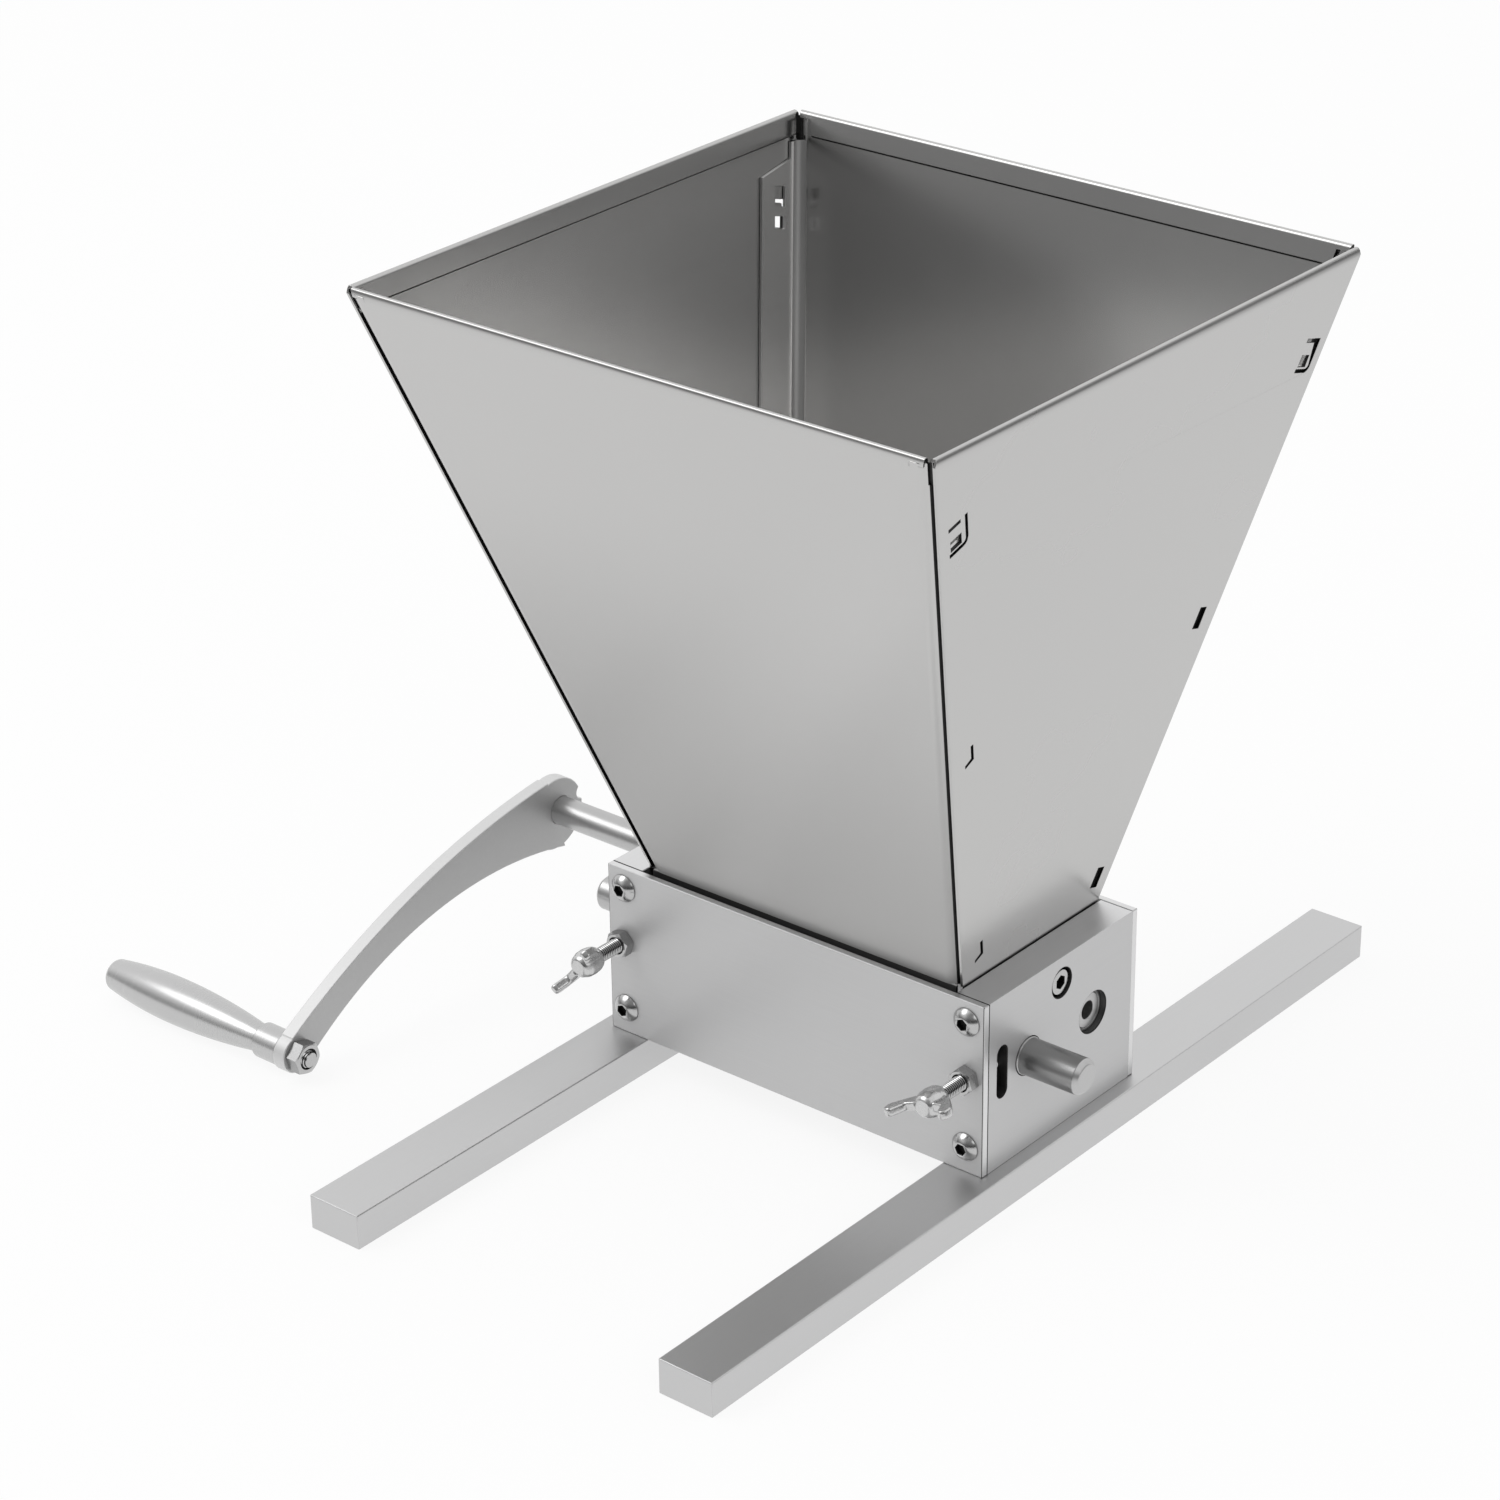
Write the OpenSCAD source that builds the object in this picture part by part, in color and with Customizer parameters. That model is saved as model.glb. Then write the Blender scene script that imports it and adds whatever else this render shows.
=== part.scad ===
// Hand cranked two-roller malt mill with a sheet steel hopper, standing on two base bars.
// X runs along the rollers, with the crank at minus X. Y runs from the front plate to the back plate.
// Z is up. The origin lies under the centre of the mill body, on the plane that the bars stand on.

/* [Body] */
// Width of the mill body over the outer faces of the end blocks
body_w = 150; // [130:1:180]
// Depth of the mill body over the outer faces of the plates
body_d = 80; // [80:1:90]
// Height of the end blocks and plates
body_h = 60; // [58:1:70]
// Thickness of the front and back plates
plate_t = 2.5; // [2:0.5:3.5]
// Thickness of each end block along the rollers
block_t = 13.5; // [13:0.5:16]

/* [Base bars] */
// Width of each base bar
bar_w = 20; // [18:1:24]
// Height of each base bar
bar_h = 12; // [11:1:16]
// Length of each base bar
bar_len = 343; // [300:1:400]
// How far each base bar stands out past the end block
bar_out = 5; // [2:0.5:6]
// How far the middle of the bars lies in front of the middle of the body
bar_shift = 3.2; // [-10:0.1:10]

/* [Rollers] */
// Diameter of both rollers
roller_d = 32.8; // [28:0.1:33]
// Distance between the two roller axes seen from above
axis_gap = 34; // [34:0.1:36]
// Height of the roller axes above the bottom of the blocks
axis_h = 33; // [31:0.5:34]
// Free play between a roller's end face and the end block
roller_play = 0.5; // [0.3:0.1:1]
// How far the front roller's axis lies off the axis of its axle
eccentric = 1; // [0.6:0.1:1]
// Diameter of the front axle's stubs and of the driven shaft's journals
axle_d = 12; // [11:0.5:12]
// Diameter of the thick middle length of both roller shafts
core_d = 14; // [14:0.5:15]
// How far the front axle's stubs stand out of the end blocks
stub_len = 22; // [15:1:30]

/* [Crank] */
// Diameter of the shaft that carries the crank arm
crank_d = 10; // [8:0.5:11]
// Distance from the middle of the body to the inner face of the crank arm
arm_x = 147; // [140:1:170]
// Distance between the crank shaft and the grip's axis
arm_len = 135; // [110:1:135]
// Thickness of the crank arm
arm_t = 5; // [5:0.5:8]
// Radius of the arm's hub
hub_r = 13; // [11:0.5:15]
// Length of the turned grip
grip_len = 71; // [60:1:90]
// Largest diameter of the grip
grip_d = 15.5; // [14:0.5:16]
// Angle of the arm below the horizontal at rest
arm_angle = 15.7; // [0:0.1:15.7]

/* [Hopper] */
// Height of the hopper above the blocks
hop_h = 209; // [150:1:260]
// Half the hopper's width at its rim
hop_rim_x = 108.4; // [90:0.1:125]
// How far the rim reaches in front of the middle of the body
hop_rim_front = 111.9; // [80:0.1:130]
// How far the rim reaches behind the middle of the body
hop_rim_back = 99.6; // [70:0.1:130]
// Thickness of the hopper's sheet
sheet = 1; // [0.8:0.1:1]
// Height of the folded hem at the rim
hem_h = 8; // [5:0.5:10]
// Radius of the rounded bend where a front or back sheet turns into its side flange
bend_r = 5; // [3:0.1:5]
// Width of the flanges that lie inside the side sheets
flange_w = 19; // [17:0.5:24]

/* [Screws] */
// Diameter of the plate screws, bar screws and wing screws
screw_d = 5; // [4:0.5:5]
// Height of the wing screws above the bottom of the blocks
clamp_h = 33.5; // [32.5:0.1:34.5]
// Height of the lower plate screws above the bottom of the blocks
screw_low = 9; // [7:0.5:12]
// Distance of the upper plate screws below the top of the blocks
screw_top = 7; // [6:0.5:10]
// Distance of the plate screws from the ends of the plates
screw_in = 6.5; // [6:0.1:7.5]

/* [Hidden] */
$fn = 64;

// Overrun of cutting shapes past the faces they cut
over = 1;
// Radial clearance of a shaft that turns in a bore
run_fit = 0.05;
// Radial clearance of a part that is pressed in
press_gap = 0.02;
// Radial clearance of a screw in its threaded hole
thread_gap = 0.05;
// Radial clearance of a screw in a plain hole
hole_gap = 0.2;

// Places of the body
half_w = body_w / 2;
half_d = body_d / 2;
base_z = bar_h;
top_z = bar_h + body_h;
block_d = body_d - 2 * plate_t;
in_x = half_w - block_t;
bar_x = half_w + bar_out - bar_w / 2;
axis_z = base_z + axis_h;
front_y = -axis_gap / 2;
rear_y = axis_gap / 2;
roller_len = 2 * (in_x - roller_play);

// Bushes of both roller shafts
bush_wall = 1;
bush_recess = 2;
idler_bush_len = 15;
bush_od = axle_d + 2 * bush_wall;
idler_bush_od = core_d + 2 * bush_wall;
shaft_shoulder = 0.3;
roller_bevel = 0.8;
centre_hole_d = 6;
centre_hole_h = 8;
stub_bevel = 1.5;
journal_rise = 0.25;
journal_past = 0.3;
journal_d = axle_d + 2 * journal_rise;
journal_out = 2.5;

// Button head plate screws
button_d = 1.9 * screw_d;
button_h = 0.55 * screw_d;
button_edge_h = 0.12 * screw_d;
button_key = 0.6 * screw_d;
button_key_depth = 0.32 * screw_d;
plate_screw_len = 2.4 * screw_d;
plate_hole_depth = 2.1 * screw_d;

// Socket cap screws of the tie rod and the bars
cap_d = 1.7 * screw_d;
cap_h = screw_d;
cap_key = 0.8 * screw_d;
cap_key_depth = 0.5 * screw_d;
cap_bevel = 0.08 * screw_d;
cap_sink_d = 2 * screw_d;
cap_sink = 1.1 * screw_d;
cap_len = 3.2 * screw_d;
bar_sink = 1.2 * screw_d;
bar_screw_y = 18;
tie_d = 1.6 * screw_d;
tie_drop = 9;
tie_hole = 2.2 * screw_d;

// Wing screws, their nuts, pads and slots
nut_w = 1.6 * screw_d;
nut_h = 0.8 * screw_d;
clamp_in = 6;
clamp_x = half_w - clamp_in;
clamp_z = base_z + clamp_h;
slot_w = 5;
slot_len = 18;
slot_in = 7.1;
slot_y = slot_in - block_d / 2;
pad_d = 5;
pad_len = 3.5;
pad_gap = 0.1;
wing_start = 13;
wing_hub_len = 9.6;
wing_hub_d = 9.2;
wing_ball_d = 9.7;
wing_face_d = 5;
wing_r = 12.6;
wing_t = 2.4;
wing_root_r = 2.5;
wing_band = 5.2;
wing_lean = 6.6;
left_wing_turn = 52;
right_wing_turn = 18;

// Crank arm outline, measured from the shaft towards the grip and upwards
hub_shift = 2.4;
arm_tip_r = 6.5;
arm_low_s = 14;
arm_low_t = -8.5;
arm_mid_s = 77;
arm_mid_t = 5.2;
arm_end_s = 2;
arm_end_t = 6.3;
arm_back_s = 19.5;
arm_back_t = 16.2;
arm_crown_s = 58;
arm_crown_t = 18.2;
notch_r = 2.6;
notch_out = 0.6;
set_screw_d = 3;
shaft_end_out = 0.5;

// Grip, from its neck at the collar to its far end
grip_neck_d = 8.8;
grip_end_d = 10.4;
grip_full_share = 0.58;
grip_round = 2.2;
grip_bore_d = 7;
grip_bolt_d = 6;
collar_d = 12;
collar_len = 10.4;
grip_play = 0.15;
bolt_head_d = 8;
bolt_head_h = 2.4;
bolt_head_sink = 2.8;
grip_nut_w = 10;
grip_nut_h = 5;
bolt_out = 1.2;

// Hopper planes
hop_z = top_z;
lip_step = 0.1;
front_seam = 2.7;
back_seam = 0.2;
hop_x0 = in_x + sheet - lip_step;
hop_front0 = block_d / 2 - front_seam;
hop_back0 = block_d / 2 - back_seam;
kx = (hop_rim_x - hop_x0) / hop_h;
kf = (hop_rim_front - hop_front0) / hop_h;
kb = (hop_rim_back - hop_back0) / hop_h;
seat_h = 4.5;
seat_gap = 0.3;
front_lip = 20;
back_lip = 24;
lip_in = 1;
hem_gap = 0.4;
rim_clip = 2;
rim_round = 3.6;
hem_slant = 0.6;
rim_fall = 0.6;
hem_in = 2.1;
hem_space = 0.5;
corner_keep = 1.3;
bend_tail = 0.3;
edge_back = 1;
flange_gap = 0.15;
flange_drop = 14;
flange_slant = 3;

// Latch and catch cuts near the edges of the side sheets, measured in from the edge and up along
// it. Those near the rear edge face the same way as those near the front edge.
cut_w = 1.2;
latch_drop = 40.3;
latch_in = 5;
latch_w = 8.2;
latch_h = 11;
latch_r = 2.6;
latch_pry = 2.4;
latch_turn = 18.2;
slit_up = 9.7;
slit_w = 5.2;
window_in = 5.5;
window_w = 4.8;
window_up = 1.9;
window_h = 3.8;
flange_window_up = 8.8;
flange_window_h = 6.4;
catch_up = [5.2, 94.2];
catch_h = 7.2;
catch_in = 7;
catch_w = 4;
catch_jog = 0.9;
opening_in = [5.8, 8];

// Length of a sloping line that rises by 1 and leans out by k
function slope(k) = sqrt(1 + k * k);

// Centre and radius of the circle through three points
function det(a, b) = a[0] * b[1] - a[1] * b[0];
function centre3(a, b, c) =
    let (u = b - a, v = c - a, d = 2 * det(u, v), uu = u * u, vv = v * v)
    a + [v[1] * uu - u[1] * vv, u[0] * vv - v[0] * uu] / d;

// Hexagonal prism, given its width across flats, standing on z = 0
module hex(width, height) {
    cylinder(d = width / cos(30), h = height, $fn = 6);
}

// Stands a shape that is built along +Z with its +Z pointing along +X, -X or -Y
module along_x() {
    rotate([0, 90, 0]) children();
}
module along_minus_x() {
    rotate([0, -90, 0]) children();
}
module along_minus_y() {
    rotate([90, 0, 0]) children();
}
module along_plus_y() {
    rotate([-90, 0, 0]) children();
}

// Cylinder from z0 to z1
module rod(d, z0, z1) {
    translate([0, 0, z0]) cylinder(d = d, h = z1 - z0);
}

// Rod with a bevel at both ends
module bevelled(d, z0, z1, c) {
    rod(d, z0 + c, z1 - c);
    translate([0, 0, z0]) cylinder(d1 = d - 2 * c, d2 = d, h = c);
    translate([0, 0, z1 - c]) cylinder(d1 = d, d2 = d - 2 * c, h = c);
}

// Places of the four plate screws on one plate
plate_screw_x = half_w - screw_in;
plate_screw_z = [base_z + screw_low, top_z - screw_top];

module at_plate_screws() {
    for (sx = [-1, 1], z = plate_screw_z) translate([sx * plate_screw_x, 0, z]) children();
}

// Button head screw along +Z, with its head above z = 0
module button_screw() {
    dome = button_h - button_edge_h;
    ball = (button_d * button_d / 4 + dome * dome) / (2 * dome);
    difference() {
        union() {
            rod(button_d, 0, button_edge_h);
            intersection() {
                translate([0, 0, button_h - ball]) sphere(r = ball);
                rod(button_d, button_edge_h, button_h + over);
            }
        }
        translate([0, 0, button_h - button_key_depth]) hex(button_key, button_key_depth + over);
    }
    rod(screw_d, -plate_screw_len, 0);
}

// Socket cap screw along +Z, with the underside of its head at z = 0
module cap_screw() {
    difference() {
        union() {
            rod(cap_d, 0, cap_h - cap_bevel);
            translate([0, 0, cap_h - cap_bevel])
                cylinder(d1 = cap_d, d2 = cap_d - 2 * cap_bevel, h = cap_bevel);
        }
        translate([0, 0, cap_h - cap_key_depth]) hex(cap_key, cap_key_depth + over);
    }
    rod(screw_d, -cap_len, 0);
}

// Base bar with two counterbored holes from below
module base_bar(side) {
    color("silver") difference() {
        translate([side * bar_x - bar_w / 2, -bar_len / 2 - bar_shift, 0])
            cube([bar_w, bar_len, bar_h]);
        for (sy = [-1, 1]) translate([side * bar_x, sy * bar_screw_y, 0]) {
            rod(cap_sink_d, -over, bar_sink);
            rod(screw_d + 2 * hole_gap, 0, bar_h + over);
        }
    }
}

module left_bar() {
    base_bar(-1);
}
module right_bar() {
    base_bar(1);
}

// Screws that hold the blocks down on the bars
module bar_screws() {
    color("dimgray") for (sx = [-1, 1], sy = [-1, 1])
        translate([sx * bar_x, sy * bar_screw_y, bar_sink]) mirror([0, 0, 1]) cap_screw();
}

// End block, built at plus X and mirrored for the left side
module end_block(rear_hole) {
    difference() {
        translate([in_x, -block_d / 2, base_z]) cube([block_t, block_d, body_h]);
        translate([in_x - over, 0, 0]) along_x_at(front_y, axis_z)
            rod(journal_d + 2 * run_fit, 0, block_t + 2 * over);
        translate([in_x - over, 0, 0]) along_x_at(rear_y, axis_z)
            rod(rear_hole + 2 * press_gap, 0, block_t + 2 * over);
        // Tie rod screw
        translate([in_x - over, 0, 0]) along_x_at(0, top_z - tie_drop)
            rod(screw_d + 2 * hole_gap, 0, block_t + 2 * over);
        translate([half_w - cap_sink, 0, 0]) along_x_at(0, top_z - tie_drop)
            rod(cap_sink_d, 0, cap_sink + over);
        // Slot that opens the block in front of the axle, with the wing screw crossing it
        translate([in_x - over, slot_y, clamp_z]) along_x() round_slot();
        translate([clamp_x, -block_d / 2 - over, clamp_z]) along_plus_y()
            rod(screw_d + 2 * hole_gap, 0, slot_y + block_d / 2 + over);
        translate([clamp_x, slot_y, clamp_z]) along_plus_y()
            rod(pad_d + 2 * pad_gap, 0, front_y - slot_y);
        // Threaded holes for the plate screws and the bar screws
        for (z = plate_screw_z, sy = [-1, 1])
            translate([plate_screw_x, sy * (block_d / 2 + over), z])
                rotate([sy * 90, 0, 0]) rod(screw_d + 2 * thread_gap, 0, plate_hole_depth + over);
        for (sy = [-1, 1]) translate([bar_x, sy * bar_screw_y, base_z])
            rod(screw_d + 2 * thread_gap, -over, cap_len - bar_h + bar_sink + over);
        // Ledge that the hopper's side lips stand on
        translate([in_x - over, -block_d / 2 - over, top_z - seat_h])
            cube([hop_x0 + seat_gap - in_x + over, block_d + 2 * over, seat_h + over]);
    }
}

module along_x_at(y, z) {
    translate([0, y, z]) along_x() children();
}

// Upright slot with round ends, its long side along the block's height
module round_slot() {
    h = block_t + 2 * over;
    straight = slot_len - slot_w;
    translate([-straight / 2, -slot_w / 2, 0]) cube([straight, slot_w, h]);
    for (s = [-1, 1]) translate([s * straight / 2, 0, 0]) rod(slot_w, 0, h);
}

module right_block() {
    color("lightgray") end_block(bush_od);
}
module left_block() {
    color("lightgray") mirror([1, 0, 0]) end_block(bush_od);
}

// Plate over the front or back of both blocks, lying from y = 0 towards +Y
module plate_blank() {
    difference() {
        translate([-half_w, 0, base_z]) cube([body_w, plate_t, body_h]);
        at_plate_screws() translate([0, -over, 0]) along_plus_y()
            rod(screw_d + 2 * hole_gap, 0, plate_t + 2 * over);
    }
}

module front_plate() {
    color("gainsboro") translate([0, -half_d, 0]) difference() {
        plate_blank();
        for (sx = [-1, 1]) translate([sx * clamp_x, -over, clamp_z]) along_plus_y()
            rod(screw_d + 2 * hole_gap, 0, plate_t + 2 * over);
    }
}

module back_plate() {
    color("gainsboro") translate([0, half_d - plate_t, 0]) plate_blank();
}

module front_plate_screws() {
    color("dimgray") translate([0, -half_d, 0]) at_plate_screws() along_minus_y() button_screw();
}
module back_plate_screws() {
    color("dimgray") translate([0, half_d, 0]) at_plate_screws() along_plus_y() button_screw();
}

// Hexagon nuts that the wing screws turn in, on the outside of the front plate
module clamp_nuts() {
    color("dimgray") for (sx = [-1, 1]) translate([sx * clamp_x, -half_d, clamp_z])
        along_minus_y() difference() {
            rotate([0, 0, 30]) hex(nut_w, nut_h);
            rod(screw_d + 2 * thread_gap, -over, nut_h + over);
        }
}

// Spacer rod between the blocks, above the rollers
module tie_rod() {
    color("silver") translate([0, 0, top_z - tie_drop]) along_x() difference() {
        rod(tie_d, -in_x, in_x);
        rod(screw_d + 2 * thread_gap, -in_x - over, -in_x + tie_hole);
        rod(screw_d + 2 * thread_gap, in_x - tie_hole, in_x + over);
    }
}
module tie_rod_screws() {
    color("dimgray") for (s = [0, 1]) mirror([s, 0, 0])
        translate([half_w - cap_sink, 0, top_z - tie_drop]) along_x() cap_screw();
}

// Bronze bushes of the driven roller's shaft, pressed into the blocks
module rear_bushes() {
    color("peru") for (s = [0, 1]) mirror([s, 0, 0]) along_x_at(rear_y, axis_z) difference() {
        rod(bush_od, in_x, half_w - bush_recess);
        rod(axle_d + 2 * run_fit, in_x - over, half_w);
    }
}

// Shaft of the driven roller, with the crank's journal at minus X
module drive_shaft() {
    shoulder = in_x - shaft_shoulder;
    step = half_w + journal_out;
    color("darkgray") along_x_at(rear_y, axis_z) difference() {
        union() {
            rod(core_d, -shoulder, shoulder);
            rod(axle_d, -step, -shoulder);
            rod(axle_d, shoulder, half_w - bush_recess);
            rod(crank_d, -arm_x - arm_t - shaft_end_out, -step);
        }
        rod(centre_hole_d, half_w - bush_recess - centre_hole_h, half_w);
    }
}
module drive_roller() {
    color("gray") along_x_at(rear_y, axis_z) difference() {
        bevelled(roller_d, -roller_len / 2, roller_len / 2, roller_bevel);
        rod(core_d + 2 * press_gap, -roller_len / 2 - over, roller_len / 2 + over);
    }
}

// Front axle: straight journals and stubs, and a thicker middle set off its axis
module front_axle() {
    end = half_w + stub_len;
    shoulder = in_x - shaft_shoulder;
    color("darkgray") along_x_at(front_y, axis_z) {
        for (s = [0, 1]) mirror([0, 0, s]) {
            rod(journal_d, shoulder, half_w + journal_past);
            rod(axle_d, half_w + journal_past, end - stub_bevel);
            translate([0, 0, end - stub_bevel])
                cylinder(d1 = axle_d, d2 = axle_d - 2 * stub_bevel, h = stub_bevel);
        }
        translate([-eccentric, 0, 0]) rod(core_d, -shoulder, shoulder);
    }
}
module idler_roller() {
    color("gray") along_x_at(front_y, axis_z + eccentric) difference() {
        bevelled(roller_d, -roller_len / 2, roller_len / 2, roller_bevel);
        rod(idler_bush_od + 2 * press_gap, -roller_len / 2 - over, roller_len / 2 + over);
    }
}
module idler_bushes() {
    color("peru") along_x_at(front_y, axis_z + eccentric)
        for (s = [0, 1]) mirror([0, 0, s]) difference() {
            rod(idler_bush_od, roller_len / 2 - idler_bush_len, roller_len / 2);
            rod(core_d + 2 * run_fit, roller_len / 2 - idler_bush_len - over, roller_len / 2 + over);
        }
}

// Crank frame: +X runs from the shaft to the grip, +Y is the arm's upper side, +Z points to minus X
module on_crank() {
    translate([-arm_x, rear_y, axis_z]) rotate([arm_angle, 0, 0]) rotate([0, -90, 0])
        rotate([0, 0, -90]) children();
}

// Flat arm: two arcs from the hub to the tip
module arm_outline() {
    top_a = [arm_back_s, arm_back_t];
    top_c = [arm_len + arm_end_s, arm_end_t];
    low_a = [arm_low_s, arm_low_t];
    low_c = [arm_len - arm_end_s, -arm_end_t];
    top_m = centre3(top_a, [arm_crown_s, arm_crown_t], top_c);
    low_m = centre3(low_a, [arm_mid_s, arm_mid_t], low_c);
    translate([hub_shift, 0]) circle(r = hub_r);
    translate([arm_len, 0]) circle(r = arm_tip_r);
    difference() {
        intersection() {
            translate(top_m) circle(r = norm(top_m - top_a), $fn = 180);
            translate([hub_shift, -arm_len / 2]) square([arm_len - hub_shift, arm_len]);
        }
        translate(low_m) circle(r = norm(low_m - low_a), $fn = 180);
    }
}
module crank_arm() {
    color("lightgray") on_crank() difference() {
        linear_extrude(height = arm_t) arm_outline();
        rod(crank_d + 2 * press_gap, -over, arm_t + over);
        translate([arm_len, 0, 0]) rod(grip_bolt_d + 2 * hole_gap, -over, arm_t + over);
        translate([hub_shift - hub_r - notch_out, 0, 0]) rod(2 * notch_r, -over, arm_t + over);
        translate([0, 0, arm_t / 2]) along_minus_x() rod(set_screw_d + 2 * thread_gap, 0, hub_r);
    }
}
module arm_set_screw() {
    floor_s = hub_r - hub_shift + notch_out - notch_r;
    color("dimgray") on_crank() translate([0, 0, arm_t / 2]) along_minus_x()
        rod(set_screw_d, crank_d / 2 + press_gap, floor_s + set_screw_d / 6);
}

// Grip parts, on the outer side of the arm
module at_grip() {
    on_crank() translate([arm_len, 0, arm_t]) children();
}
module grip_collar() {
    color("silver") at_grip() difference() {
        rod(collar_d, 0, collar_len);
        rod(grip_bolt_d + 2 * hole_gap, -over, collar_len + over);
    }
}
grip_z0 = collar_len + grip_play;
module grip_bolt() {
    color("darkgray") at_grip() {
        rod(grip_bolt_d, -arm_t - grip_nut_h - bolt_out, collar_len);
        rod(grip_bore_d - 2 * run_fit, collar_len, grip_z0 + grip_len - bolt_head_sink + grip_play);
        rod(bolt_head_d, grip_z0 + grip_len - bolt_head_sink + grip_play,
            grip_z0 + grip_len - bolt_head_sink + grip_play + bolt_head_h);
    }
}
module grip_nut() {
    color("dimgray") at_grip() translate([0, 0, -arm_t - grip_nut_h]) difference() {
        hex(grip_nut_w, grip_nut_h);
        rod(grip_bolt_d + 2 * thread_gap, -over, grip_nut_h + over);
    }
}

// Barrel grip: one arc from the neck over the fullest place to the far end
module grip() {
    a = [grip_neck_d / 2, 0];
    b = [grip_d / 2, grip_full_share * grip_len];
    c = [grip_end_d / 2, grip_len];
    m = centre3(a, b, c);
    color("silver") at_grip() translate([0, 0, grip_z0]) difference() {
        rotate_extrude() intersection() {
            translate(m) circle(r = norm(m - a), $fn = 180);
            union() {
                square([grip_d, grip_len - grip_round]);
                square([grip_end_d / 2 - grip_round, grip_len]);
                translate([grip_end_d / 2 - grip_round, grip_len - grip_round]) round_end();
            }
        }
        rod(grip_bore_d, -over, grip_len + over);
        rod(bolt_head_d + 2 * hole_gap, grip_len - bolt_head_sink, grip_len + over);
    }
}
module round_end() {
    circle(r = grip_round + press_gap, $fn = 48);
}

// Wing screw with its pad: +Z points out of the body, z = 0 on the plate's outer face
module on_clamp(side) {
    translate([side * clamp_x, -half_d, clamp_z]) along_minus_y() children();
}
pad_tip = pad_gap + journal_d / 2 - half_d - front_y;
module pad(side) {
    color("goldenrod") on_clamp(side) rod(pad_d, pad_tip, pad_tip + pad_len);
}
module left_pad() {
    pad(-1);
}
module right_pad() {
    pad(1);
}
module wing(turn) {
    z = wing_start + wing_hub_len / 2;
    root_low = z - wing_hub_len / 3;
    tip_high = z + wing_lean + wing_band / 2;
    rotate([0, 0, turn]) rotate([90, 0, 0]) translate([0, 0, -wing_t / 2])
        linear_extrude(height = wing_t) {
            polygon([[wing_root_r, root_low], [wing_r - wing_t / 2, root_low + wing_lean],
                [wing_r, root_low + wing_lean + wing_t], [wing_r - wing_t / 2, tip_high],
                [wing_r - wing_t, tip_high], [wing_root_r, root_low + wing_band]]);
        }
}
module wing_screw(side, turn) {
    ball_z = wing_start + wing_hub_len / 2;
    color("dimgray") on_clamp(side) {
        rod(screw_d, pad_tip + pad_len + press_gap, wing_start + wing_hub_len / 2);
        intersection() {
            translate([0, 0, ball_z]) sphere(d = wing_ball_d);
            rod(wing_hub_d, wing_start, wing_start + wing_hub_len);
        }
        rod(wing_face_d, ball_z, wing_start + wing_hub_len);
        wing(turn);
        rotate([0, 0, 180]) wing(turn);
    }
}
module left_wing_screw() {
    wing_screw(-1, left_wing_turn);
}
module right_wing_screw() {
    wing_screw(1, right_wing_turn);
}

// Points along an arc, and a point given in a frame that is turned by an angle
function arc(c, r, a0, a1, n) =
    [for (i = [0:n]) let (a = a0 + (a1 - a0) * i / n) c + r * [cos(a), sin(a)]];
function turned(p, a) = [p[0] * cos(a) + p[1] * sin(a), p[1] * cos(a) - p[0] * sin(a)];
function unit(v) = v / norm(v);
fold_r = sheet + hem_gap / 2;
rim_drop = 1.5 * fold_r;
bend_steps = 8;
fall_h = hop_h - rim_drop - rim_fall;

// Side view of one hopper sheet that leans by k, in its own frame: x points out of its outer face
// and y up the slope from the foot. The rim is folded inwards as an open hem, and an upright lip
// hangs below the foot.
function hem_run(k) = (hop_h - fold_r * (1 + sin(atan(k)))) * slope(k);
function sheet_points(k, lip) =
    let (a = atan(k), run = hem_run(k), c = [-fold_r, run], low = run + fold_r - rim_round)
    concat([for (i = [0:bend_steps]) let (b = 90 * i / bend_steps)
            [-fold_r * (1 - cos(b)), low + rim_round * sin(b)]],
        arc(c, fold_r, 90, 180, bend_steps),
        [[-2 * fold_r, run - hem_h + fold_r + hem_slant],
            [-2 * fold_r + sheet, run - hem_h + fold_r]],
        arc(c, hem_gap / 2, 180, 0, bend_steps),
        [[-sheet, -sheet * tan(a / 2)], turned([-sheet, -lip], -a), turned([0, -lip], -a), [0, 0]]);

// Room behind the sheet at the rim, where the hem is cut away near a corner
module hem_cut(k) {
    translate([-over - 2 * fold_r, hem_run(k) - hem_h])
        square([over + 2 * fold_r - sheet - hem_gap / 4, hem_h + 2 * fold_r]);
}

// Frame of a front or back sheet that leans by k: X along the rim, Y up its slope, Z out of its
// outer face. It is built facing minus Y. A side view in the sheet's own frame runs along X, and a
// view of its face runs along Z.
module on_face(k, y0) {
    translate([0, -y0, hop_z]) rotate([90 + atan(k), 0, 0]) children();
}
module face_run(x0, x1) {
    translate([x0, 0, 0]) rotate([90, 0, 90]) linear_extrude(height = x1 - x0)
        mirror([1, -1]) children();
}
module face_cut() {
    translate([0, 0, -hop_h]) linear_extrude(height = 2 * hop_h) children();
}

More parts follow.
